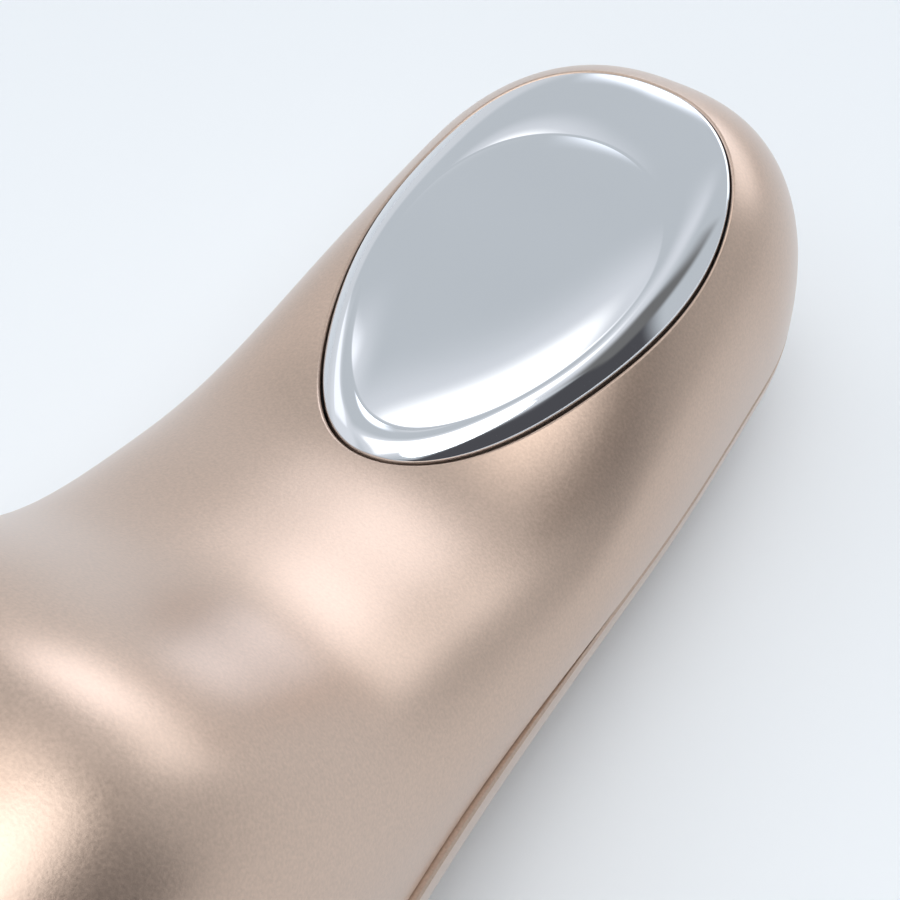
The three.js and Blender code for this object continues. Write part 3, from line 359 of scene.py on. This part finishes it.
def rounded_outline(width, length, corner, x, y):
    def outline(turn, offset=0.0):
        a, b, r = width / 2 - corner, length / 2 - corner, corner + offset
        steps = len(turn)
        quarter = steps // 4
        share = np.linspace(0, 1, quarter, endpoint=True)
        xs, ys = [], []
        for k, (sx, sy) in enumerate([(1, 1), (-1, 1), (-1, -1), (1, -1)]):
            angle = (k + share) * np.pi / 2
            xs.append(x + sx * a + r * np.cos(angle))
            ys.append(y + sy * b + r * np.sin(angle))
        return np.concatenate(xs), np.concatenate(ys)
    return outline


WINDOW_OUTLINE = rounded_outline(*WINDOW, WINDOW_CORNER, 0, WINDOW_Y)
CONTACT_OUTLINE = ellipse_outline(CONTACT_W, CONTACT_L, CONTACT_Y)


def turns(steps):
    return 2 * np.pi * np.arange(steps) / steps


def opening(outline, gap, fillet, bottom, steps=96, under=False):
    """A cutter for a hole through a shell, which leaves a rounded edge on the shell's face."""
    turn = turns(steps)
    surface = underside if under else roof
    way = -1 if under else 1
    rings = []

    def ring(offset, depth, flat=None):
        x, y = outline(turn, offset)
        z = surface(x, y) - way * depth if flat is None else np.full(len(x), flat)
        rings.append(np.stack([x, y, z], 1))

    ring(gap, 0, flat=bottom)
    for angle in np.radians([0, 22.5, 45, 67.5]):
        ring(gap + fillet * (1 - math.cos(angle)), fillet * (1 - math.sin(angle)))
    ring(gap + fillet, -ON_FORM)
    ring(gap + fillet, -4 * PAST)
    return loft("opening", rings)


def gradient(points, upper, ledge):
    """Distance from the body's outer surface, and its outward normals, at points in millimetres."""
    x, y, z = points.T
    power = UPPER_POWER if upper else LOWER_POWER

    def value(x, y, z):
        middle, reach, rise, drop = section(y, 0.0, ledge)
        high = rise if upper else drop
        reach, high = np.maximum(reach, 1e-6), np.maximum(high, 1e-6)
        return (np.abs(x) / reach) ** power + (np.abs(z - middle) / high) ** power - 1

    step = 1e-3
    y_safe = np.clip(y, -HALF + 2 * step, HALF - 2 * step)
    here = value(x, y_safe, z)
    slopes = np.stack([
        value(x + step, y_safe, z) - value(x - step, y_safe, z),
        value(x, y_safe + step, z) - value(x, y_safe - step, z),
        value(x, y_safe, z + step) - value(x, y_safe, z - step),
    ], 1) / (2 * step)
    size = np.linalg.norm(slopes, axis=1)
    size[size == 0] = 1
    return here / size, slopes / size[:, None]


def sharpen(obj, angle=30.0):
    """Smooth faces, with sharp edges where they meet at more than the angle."""
    obj.data.polygons.foreach_set("use_smooth", [True] * len(obj.data.polygons))
    obj.data.set_sharp_from_angle(angle=math.radians(angle))
    return obj


def true_normals(obj, upper, ledge):
    """Gives the faces on the body's outer surface the normals of the true form."""
    mesh = obj.data
    sharpen(obj)
    points = np.empty(len(mesh.vertices) * 3)
    mesh.vertices.foreach_get("co", points)
    points = points.reshape(-1, 3) / MM
    far, normals = gradient(points, upper, ledge)
    corner = np.empty(len(mesh.loops), int)
    mesh.loops.foreach_get("vertex_index", corner)
    shown = np.empty(len(mesh.loops) * 3)
    mesh.corner_normals.foreach_get("vector", shown)
    shown = shown.reshape(-1, 3)
    starts = np.empty(len(mesh.polygons), int)
    totals = np.empty(len(mesh.polygons), int)
    facing = np.empty(len(mesh.polygons) * 3)
    mesh.polygons.foreach_get("loop_start", starts)
    mesh.polygons.foreach_get("loop_total", totals)
    mesh.polygons.foreach_get("normal", facing)
    facing = facing.reshape(-1, 3)
    face_of = np.repeat(np.arange(len(totals)), totals)
    on = np.abs(far[corner]) < ON_FORM
    worst = np.zeros(len(totals))
    np.maximum.at(worst, face_of, np.abs(far[corner]))
    agree = (facing[face_of] * normals[corner]).sum(1) > 0.9
    use = on & (worst[face_of] < ON_FORM) & agree
    shown[use] = normals[corner][use]
    mesh.normals_split_custom_set(shown.tolist())


# Covers

def edge_cutter(offset, size, ledge, above):
    """A wedge swept along the parting line that breaks a cover's outer edge there."""
    ys = HALF - 1e-3 - (LENGTH + 8) * (1 - np.cos(np.linspace(0.02, np.pi / 2, 150)))
    right = []
    for y in ys:
        clamped = max(y, -HALF)
        middle, reach, _, _ = section(clamped, 0.0, ledge)
        right.append((float(reach), y, float(middle)))
    right = np.array(right)
    left = right[::-1] * [-1, 1, 1]
    path = np.concatenate([left, right])
    along = np.gradient(path, axis=0)
    out = np.stack([-along[:, 1], along[:, 0], np.zeros(len(path))], 1)
    out /= np.linalg.norm(out, axis=1)[:, None]
    centre = np.array([0, 20, 0])
    out *= np.where(((path - centre) * out).sum(1) < 0, -1, 1)[:, None]
    up = np.array([0, 0, 1.0 if above else -1.0])
    edge = path + up * offset
    rings = np.stack([
        edge - out * size - up * 0.3,
        edge - out * size,
        edge + out * size * 0.35 + up * size * 1.35,
        edge + out * 2 + up * size * 1.35,
        edge + out * 2 - up * 0.3,
    ], 1)
    return loft("edge", rings)


def hollow():
    return body_hull(WALL, open_tail=True, stations=INNER_STATIONS, sides=INNER_STATIONS)


def front_cover():
    deep = float(roof(0, PLATE_Y - PLATE_L / 2)) - HOLE_DEPTH
    plate_hole = opening(plate_outline, SEEN_GAP, RIM_FILLET, deep, EGG_STEPS)
    steps = [(hollow(), "DIFFERENCE"), (plate_hole, "DIFFERENCE")]
    for outline in (
        circle_outline(RING_R, 0, POWER_Y),
        circle_outline(SMALL_R, 0, LEVEL_Y),
        circle_outline(SMALL_R, 0, MODE_Y),
        WINDOW_OUTLINE,
    ):
        steps.append((opening(outline, CLEAR, HOLE_BREAK, HEIGHT / 2), "DIFFERENCE"))
    steps.append((parting_slab(PARTING_GAP / 2, True), "INTERSECT"))
    steps.append((edge_cutter(PARTING_GAP / 2, PARTING_BREAK, 0.0, True), "DIFFERENCE"))
    cover = combine(body_hull(0.0), *steps)
    cover.name = "front_shell"
    true_normals(cover, True, 0.0)
    return cover


def screw_spots():
    """Places of the four case screws, beside the lip of the front cover."""
    for y in (NECK_SCREW_Y, TAIL_SCREW_Y):
        reach = min(float(section(y + step, WALL)[1]) for step in (-BOSS_R, BOSS_R))
        x = reach - LIP - 3 * CLEAR - BOSS_R
        yield -x, y
        yield x, y


def rear_cover():
    steps = [(hollow(), "DIFFERENCE")]
    steps.append((opening(CONTACT_OUTLINE, CLEAR, UNDER_BREAK, CONTACT_FLOOR, 160, under=True), "DIFFERENCE"))
    for x, y in screw_spots():
        top = float(underside(x, y)) + PLUG_SEAT
        plug_hole = opening(circle_outline(PLUG_R, x, y), CLEAR, UNDER_BREAK, top, 64, under=True)
        steps.append((plug_hole, "DIFFERENCE"))
    steps.append((parting_slab(-PARTING_GAP / 2, False), "INTERSECT"))
    steps.append((edge_cutter(PARTING_GAP / 2, PARTING_BREAK, 1.0, False), "DIFFERENCE"))
    cover = combine(body_hull(0.0, 1.0), *steps)
    cover.name = "rear_shell"
    true_normals(cover, False, 1.0)
    return cover


# Treatment plate

BLUNT_Y, NARROW_Y = PLATE_Y + PLATE_L / 2, PLATE_Y - PLATE_L / 2
END_LOW, END_HIGH = float(roof(0, NARROW_Y)), float(roof(0, BLUNT_Y)) + EDGE_RISE


def top_height(y):
    """Height of the plane in which the plateau's edge lies."""
    return END_LOW + (END_HIGH - END_LOW) * (y - NARROW_Y) / PLATE_L


def treatment_plate():
    turn = turns(EGG_STEPS)
    outer_x, outer_y = plate_outline(turn)
    rim = roof(outer_x, outer_y)
    edge_x, edge_y = egg(turn, TOP_W, TOP_L, TOP_EGG, TOP_Y, 0.0)
    edge_z = top_height(edge_y)

    def top_ring(share, lower=0.0):
        x, y = edge_x * share, TOP_Y + (edge_y - TOP_Y) * share
        return np.stack([x, y, top_height(y) + TOP_CROWN * (1 - share ** 4) - lower], 1)

    def flank_ring(out, lower=0.0):
        x, y = edge_x + (outer_x - edge_x) * out, edge_y + (outer_y - edge_y) * out
        bulge = BULGE * (1 - (2 * out - 1) ** 2)
        return np.stack([x, y, edge_z + (rim - edge_z) * out + bulge - lower], 1)

    def rim_ring(offset, raise_):
        x, y = plate_outline(turn, offset)
        return np.stack([x, y, rim + raise_], 1)

    top_shares = (0.04, 0.15, 0.3, 0.45, 0.6, 0.7, 0.78, 0.84, 0.89, 0.93, 0.96, 0.985)
    rings = [top_ring(share) for share in top_shares]
    rings += [flank_ring(out) for out in np.linspace(0, 0.97, 64)]
    rings.append(rim_ring(0.0, -RIM_DROP))
    rings.append(rim_ring(0.0, -SKIRT))
    rings.append(rim_ring(-PLATE_SHEET, -SKIRT))
    rings += [flank_ring(out, PLATE_SHEET) for out in (0.58, 0.34, 0.0)]
    rings.append(top_ring(0.5, PLATE_SHEET))
    plate = loft("plate", rings)
    return sharpen(plate, 40)


def gasket():
    drop, high, wide = GASKET
    turn = turns(EGG_STEPS)
    rim = roof(*plate_outline(turn))
    near, far = CLEAR, CLEAR + wide
    corners = []
    for offset, down in ((near, drop), (far, drop), (far, drop + high), (near, drop + high)):
        x, y = plate_outline(turn, offset)
        corners.append(np.stack([x, y, rim - down], 1))
    ring = hoop("gasket", np.stack(corners, 1))
    return sharpen(combine(ring, (body_hull(PLATE_LIP + CLEAR, stations=90, sides=90), "INTERSECT")), 30)


# Buttons and trim

def capped(name, outline, top, bottom, fillet, steps=96, shares=8, crown=0.0):
    """A body with a rounded edge whose face follows the surface top(x, y)."""
    turn = turns(steps)
    way = 1 if bottom(0.0, 0.0, True) else -1
    rings = []
    cx, cy = (float(v.mean()) for v in outline(turn, 0.0))
    for share in np.linspace(0.08, 1, shares):
        x, y = outline(turn, -fillet)
        x, y = cx + (x - cx) * share, cy + (y - cy) * share
        rings.append(np.stack([x, y, top(x, y) + way * crown * (1 - share ** 2)], 1))
    for angle in np.radians([15, 30, 45, 60, 75, 90]):
        x, y = outline(turn, -fillet * (1 - math.sin(angle)))
        rings.append(np.stack([x, y, top(x, y) - way * fillet * (1 - math.cos(angle))], 1))
    x, y = outline(turn, 0.0)
    rings.append(np.stack([x, y, bottom(x, y, False)], 1))
    return sharpen(loft(name, rings), 50)


def roof_piece(name, outline, inset, depth, fillet, **more):
    def bottom(x, y, ask):
        return True if ask else roof(x, y) - depth
    return capped(name, outline, lambda x, y: roof(x, y, inset), bottom, fillet, **more)


def floor_piece(name, outline, inset, depth, fillet, **more):
    def bottom(x, y, ask):
        return False if ask else underside(x, y) + depth
    return capped(name, outline, lambda x, y: underside(x, y, inset), bottom, fillet, **more)


def button(name, radius, y, dish):
    """A cap that stands proud of the body, with a dished face."""
    outline = circle_outline(radius, 0, y)
    return roof_piece(name + "_cap", outline, -PROUD, BUTTON_DEPTH, BUTTON_FILLET, shares=14, crown=-dish)


def ring(name, inner, outer, y):
    """A trim ring with a rounded top that follows the body."""
    turn = turns(128)
    profile = []
    middle, half = (inner + outer) / 2, (outer - inner) / 2
    for angle in np.radians([180, 165, 150, 130, 110, 90, 70, 50, 30, 15, 0]):
        profile.append((middle + half * math.cos(angle), RING_TOP + RING_ROUND * math.sin(angle)))
    profile += [(outer, RING_FOOT), (inner, RING_FOOT)]
    rings = []
    for radius, raise_ in profile:
        x, yy = radius * np.cos(turn), y + radius * np.sin(turn)
        rings.append(np.stack([x, yy, roof(x, yy) + raise_], 1))
    return sharpen(hoop(name, np.stack(rings, 1)), 50)


CAP_Z = (float(roof(0, -HALF)) + float(underside(0, -HALF))) / 2


def lengthwise(name, radius, x, y0, y1, dome=0.0):
    """A round bar along the body at the tail's middle height, with a rounded outer edge."""
    turn = turns(48)
    ends = [(radius, y0)]
    if dome:
        ends = []
        for angle in np.radians([75, 55, 35, 15, 0]):
            ends.append((radius - dome + dome * math.cos(angle), y0 + dome * (1 - math.sin(angle))))
    ends.append((radius, y1))
    rings = []
    for r, y in ends:
        rings.append([(x + r * math.cos(t), y, CAP_Z + r * math.sin(t)) for t in turn])
    return loft(name, rings)


def base_cap():
    """The tail's cap, with a rounded outer edge and two bores for the charging pins."""
    rings = []
    inset = WALL + CLEAR
    for angle in np.radians([0, 18, 36, 54, 72, 90]):
        y = -HALF + CAP_FILLET * (1 - math.cos(angle))
        rings.append(body_ring(y, inset + CAP_FILLET * (1 - math.sin(angle)), 0.0, 120))
    for y in np.linspace(-HALF + CAP_FILLET, -HALF + CAP_DEPTH, 6)[1:]:
        rings.append(body_ring(y, inset, 0.0, 120))
    cap = loft("cap", rings)
    steps = []
    for x in (-PIN_X, PIN_X):
        bore = lengthwise("bore", PIN_R + CLEAR, x, -HALF - PAST, -HALF + CAP_DEPTH + PAST)
        steps.append((bore, "DIFFERENCE"))
    return sharpen(combine(cap, *steps), 35)


# Materials

def material(name, color, metallic, roughness, scale, spread=0.03, bump=0.02, rough_spread=0.05, **sockets):
    """A surface whose colour, roughness and bump vary by noise in the object's own space."""
    made = bpy.data.materials.new(name)
    made.use_nodes = True
    nodes, links = made.node_tree.nodes, made.node_tree.links
    shader = nodes["Principled BSDF"]
    place = nodes.new("ShaderNodeTexCoord")
    grain = nodes.new("ShaderNodeTexNoise")
    grain.inputs["Scale"].default_value = scale
    grain.inputs["Detail"].default_value = 4.0
    links.new(place.outputs["Object"], grain.inputs["Vector"])
    ramp = nodes.new("ShaderNodeValToRGB")
    low = [max(c * (1 - spread), 0) for c in color]
    high = [min(c * (1 + spread), 1) for c in color]
    ramp.color_ramp.elements[0].position = 0.3
    ramp.color_ramp.elements[1].position = 0.7
    ramp.color_ramp.elements[0].color = (*low, 1)
    ramp.color_ramp.elements[1].color = (*high, 1)
    links.new(grain.outputs["Fac"], ramp.inputs["Fac"])
    links.new(ramp.outputs["Color"], shader.inputs["Base Color"])
    span = nodes.new("ShaderNodeMapRange")
    span.inputs["To Min"].default_value = max(roughness - rough_spread, 0.02)
    span.inputs["To Max"].default_value = roughness + rough_spread
    links.new(grain.outputs["Fac"], span.inputs["Value"])
    links.new(span.outputs["Result"], shader.inputs["Roughness"])
    if bump:
        dent = nodes.new("ShaderNodeBump")
        dent.inputs["Strength"].default_value = bump
        dent.inputs["Distance"].default_value = 0.0002
        links.new(grain.outputs["Fac"], dent.inputs["Height"])
        links.new(dent.outputs["Normal"], shader.inputs["Normal"])
    shader.inputs["Metallic"].default_value = metallic
    for socket, value in sockets.items():
        shader.inputs[socket.replace("_", " ")].default_value = value
    return made


def srgb(code):
    """Linear colour of a hex code."""
    values = [int(code[i:i + 2], 16) / 255 for i in (1, 3, 5)]
    return [v / 12.92 if v <= 0.04045 else ((v + 0.055) / 1.055) ** 2.4 for v in values]


MATERIALS = {
    "champagne_paint": material("champagne", srgb("#c7ae9c"), 0.9, 0.33, scale=3600, spread=0.08, bump=0.05,
                                Coat_Weight=0.6, Coat_Roughness=0.28),
    "polished_chrome": material("chrome", srgb("#dfe1e4"), 1.0, 0.06, scale=60, spread=0.01, bump=0.0,
                                rough_spread=0.012),
    "dark_gasket": material("gasket", srgb("#1b1a1a"), 0.0, 0.7, scale=1500, bump=0.1),
    "dark_seal": material("seal", srgb("#2a2827"), 0.0, 0.75, scale=1500, bump=0.1),
    "dark_nylon": material("dark_nylon", srgb("#3a3b3e"), 0.0, 0.55, scale=1200, bump=0.1),
    "polyimide_film": material("film", srgb("#b5702c"), 0.1, 0.4, scale=400),
    "dark_bead": material("bead", srgb("#20242a"), 0.0, 0.4, scale=800),
    "button_paint": material("button_paint", srgb("#d0baab"), 0.72, 0.3, scale=2600, spread=0.07, bump=0.04),
    "white_nylon": material("white_nylon", srgb("#e7e4dc"), 0.0, 0.5, scale=900, bump=0.05),
    "black_plastic": material("black_plastic", srgb("#18181a"), 0.0, 0.5, scale=1200, bump=0.05),
    "milky_window": material("window", srgb("#f2f1ec"), 0.0, 0.35, scale=500, spread=0.015),
    "base_plastic": material("base_plastic", srgb("#4a423c"), 0.0, 0.5, scale=2200, spread=0.08, bump=0.15),
    "circuit_board": material("board", srgb("#1f5a3a"), 0.0, 0.45, scale=700, spread=0.15),
    "copper_coil": material("copper", srgb("#b4693a"), 0.9, 0.35, scale=1200, spread=0.1),
    "battery_sleeve": material("battery", srgb("#3f6fae"), 0.05, 0.35, scale=300),
    "motor_steel": material("motor_steel", srgb("#a9abae"), 1.0, 0.3, scale=1200, spread=0.05),
    "weight_brass": material("brass", srgb("#c9a35a"), 1.0, 0.3, scale=1200, spread=0.05),
    "wire_jacket": material("wire", srgb("#b3262a"), 0.0, 0.5, scale=900),
    "screw_steel": material("screw_steel", srgb("#a6a8ab"), 1.0, 0.32, scale=1500, spread=0.06),
    "plug_rubber": material("plug", srgb("#c2ad9f"), 0.1, 0.6, scale=1800, spread=0.05, bump=0.08),
    "lamp_resin": material("lamp", srgb("#f2f4e6"), 0.0, 0.25, scale=700),
    "gold_pin": material("gold", srgb("#d8b25a"), 1.0, 0.2, scale=900, spread=0.04),
}

slot_of = {row["node"]: row["material_slot"] for row in frame["record"]["subparts"]}
for node, obj in frame["nodes"].items():
    obj.data.materials.clear()
    obj.data.materials.append(MATERIALS[slot_of[node]])


def place(obj, body, *nodes):
    """Paints a piece as the node it stands for, and lets it ride on that node's body."""
    slot = slot_of[nodes[0]]
    obj.data.materials.clear()
    obj.data.materials.append(MATERIALS[slot])
    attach(obj, body)
    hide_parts(*nodes)
    return obj


place(front_cover(), "root", "front_cover")
place(rear_cover(), "root", "rear_cover")
place(treatment_plate(), "root", "treatment_plate")
place(gasket(), "root", "plate_gasket")
place(button("power", POWER_R, POWER_Y, 0.35), "power_key", "power_button")
place(button("level", SMALL_R, LEVEL_Y, 0.2), "level_key", "level_button")
place(button("mode", SMALL_R, MODE_Y, 0.2), "mode_key", "mode_button")
place(ring("bright_ring", POWER_R + CLEAR, RING_R, POWER_Y), "root", "power_ring")
window = roof_piece("lit_window", WINDOW_OUTLINE, CLEAR / 2, WINDOW_DEPTH, WINDOW_FILLET)
place(window, "root", "light_window")
contact_sizes = (CONTACT_RECESS, CONTACT_DEPTH, FACE_FILLET)
contact = floor_piece("palm_contact", CONTACT_OUTLINE, *contact_sizes, steps=160, shares=24)
place(contact, "root", "hand_contact")
place(base_cap(), "root", "base_cap").name = "tail_cap"
for number, x in enumerate((-PIN_X, PIN_X), 1):
    pin = sharpen(lengthwise(f"pin_{number}", PIN_R, x, -HALF + CLEAR, -HALF + CAP_DEPTH, PIN_DOME), 40)
    place(pin, "root", f"charge_pin_{number}")
for number, (x, y) in enumerate(screw_spots(), 1):
    outline = circle_outline(PLUG_R, x, y)
    plug = floor_piece(f"plug_{number}", outline, CLEAR / 2, PLUG_DEPTH, FACE_FILLET, steps=64)
    place(plug, "root", f"screw_plug_{number}")

# Camera at the photograph's place, whose lens, place and turn were fitted to the photograph's outlines

CAMERA_AT = (58.524, -53.234, 144.448)
camera = bpy.data.cameras.new("camera")
camera.sensor_width = 36.0
camera.lens = 66.16
camera.clip_start = 0.005
camera.clip_end = 20.0
view = link(bpy.data.objects.new("camera", camera))
forward = Vector((-0.34664, 0.54748, -0.76165)).normalized()
right = Vector((0.84181, 0.53976, 0.00486)).normalized()
up = right.cross(forward).normalized()
right = forward.cross(up).normalized()
view.matrix_world = Matrix((
    (right.x, up.x, -forward.x, CAMERA_AT[0] * MM),
    (right.y, up.y, -forward.y, CAMERA_AT[1] * MM),
    (right.z, up.z, -forward.z, CAMERA_AT[2] * MM),
    (0, 0, 0, 1),
))
bpy.context.scene.camera = view

# Floor, world and lamps

FLOOR_SPAN = 3.0
floor_mesh = bpy.data.meshes.new("floor")
floor_corners = [(x * FLOOR_SPAN, y * FLOOR_SPAN, 0) for x, y in ((-1, -1), (1, -1), (1, 1), (-1, 1))]
floor_mesh.from_pydata(floor_corners, [], [(0, 1, 2, 3)])
floor = link(bpy.data.objects.new("floor", floor_mesh))
floor_paint = material("floor_paint", srgb("#f0f3f5"), 0.0, 0.9, scale=6, spread=0.004, bump=0.0)
floor.data.materials.append(floor_paint)


def heading(around, above):
    """Direction at an angle around from the tip's side and above the floor, in degrees."""
    turn, lift = math.radians(around), math.radians(above)
    return Vector((math.sin(turn) * math.cos(lift), math.cos(turn) * math.cos(lift), math.sin(lift)))


class Studio:
    """A world whose sky is an even grey with soft-edged panels, bright or dark."""

    def __init__(self, color):
        world = bpy.data.worlds.new("studio")
        world.use_nodes = True
        bpy.context.scene.world = world
        self.nodes, self.links = world.node_tree.nodes, world.node_tree.links
        self.way = self.nodes.new("ShaderNodeTexCoord").outputs["Generated"]
        base = self.nodes.new("ShaderNodeRGB")
        base.outputs[0].default_value = (*color, 1)
        self.sky = base.outputs[0]

    def math(self, operation, a, b=None):
        """Output of a node that does one operation on sockets or numbers."""
        node = self.nodes.new("ShaderNodeMath")
        node.operation = operation
        for socket, value in zip(node.inputs, (a, b)):
            if isinstance(value, (int, float)):
                socket.default_value = value
            elif value is not None:
                self.links.new(value, socket)
        return node.outputs[0]

    def along(self, axis):
        """How far the seen direction leans along an axis."""
        node = self.nodes.new("ShaderNodeVectorMath")
        node.operation = "DOT_PRODUCT"
        self.links.new(self.way, node.inputs[0])
        node.inputs[1].default_value = axis
        return node.outputs["Value"]

    def within(self, axis, reach, soft):
        """One inside the reach to either side of the middle, falling softly to zero past it, in degrees."""
        node = self.nodes.new("ShaderNodeMapRange")
        node.interpolation_type = "SMOOTHSTEP"
        self.links.new(self.math("ABSOLUTE", self.along(axis)), node.inputs["Value"])
        node.inputs["From Min"].default_value = math.sin(math.radians(reach + soft))
        node.inputs["From Max"].default_value = math.sin(math.radians(reach))
        return node.outputs["Result"]

    def panel(self, around, above, wide, high, soft, color):
        """Lays a panel of one colour over the sky, sized by half its angles."""
        front = heading(around, above)
        side = heading(around + 90, 0)
        rise = side.cross(front)
        mask = self.math("MULTIPLY", self.within(side, wide, soft), self.within(rise, high, soft))
        mask = self.math("MULTIPLY", mask, self.math("GREATER_THAN", self.along(front), 0.0))
        mix = self.nodes.new("ShaderNodeMix")
        mix.data_type = "RGBA"
        self.links.new(mask, mix.inputs["Factor"])
        self.links.new(self.sky, mix.inputs[6])
        mix.inputs[7].default_value = (*color, 1)
        self.sky = mix.outputs[2]

    def finish(self, backdrop):
        """The sky lights the scene, and the camera sees the backdrop behind the floor."""
        seen = self.nodes.new("ShaderNodeMix")
        seen.data_type = "RGBA"
        path = self.nodes.new("ShaderNodeLightPath")
        self.links.new(path.outputs["Is Camera Ray"], seen.inputs["Factor"])
        self.links.new(self.sky, seen.inputs[6])
        seen.inputs[7].default_value = (*backdrop, 1)
        self.links.new(seen.outputs[2], self.nodes["Background"].inputs["Color"])
        self.nodes["Background"].inputs["Strength"].default_value = 1.0


studio = Studio((0.64, 0.68, 0.72))
# Left horizon and left wall
studio.panel(-62, 6, 26, 12, 10, (0.8, 0.83, 0.87))
studio.panel(-110, 34, 24, 14, 12, (0.9, 0.93, 0.98))
studio.panel(-82, 33, 6, 9, 5, (1.3, 1.33, 1.4))
# Dark side, which the plate's lower edge mirrors, and the dark beside the bright neck
studio.panel(101, 18, 33, 26, 7, (0.09, 0.09, 0.1))
studio.panel(56, 50, 10, 12, 7, (0.2, 0.2, 0.2))
# Low light beyond the tip, which the neck mirrors, with its core and the shade under it
studio.panel(4, 17, 19, 3, 14, (1.98, 2.07, 2.2))
studio.panel(-10, 22, 8, 2, 12, (2.75, 2.9, 3.2))
studio.panel(5, -2, 14, 4, 8, (0.3, 0.25, 0.22))
# Light overhead, dim round a bright middle
studio.panel(-40, 90, 25, 21, 14, (0.86, 0.89, 0.94))
studio.panel(-40, 90, 14, 12, 11, (2.2, 2.2, 2.2))
studio.finish((0.86, 0.89, 0.9))


def lamp(place, aim, wide, glow):
    """Hangs a round lamp that no camera sees, its face as bright as a sky of this strength."""
    data = bpy.data.lights.new("lamp", "AREA")
    data.shape = "DISK"
    data.size = wide
    data.energy = glow * math.pi * math.pi * wide ** 2 / 4
    data.color = (0.93, 0.97, 1.0)
    hung = link(bpy.data.objects.new("lamp", data))
    hung.location = place
    hung.rotation_euler = (Vector(aim) - Vector(place)).to_track_quat("-Z", "Y").to_euler()
    hung.visible_camera = False


lamp((0.095, -0.005, 0.215), (0.005, -0.02, 0.045), 0.12, 2.5)

bpy.context.scene.view_settings.view_transform = "Standard"
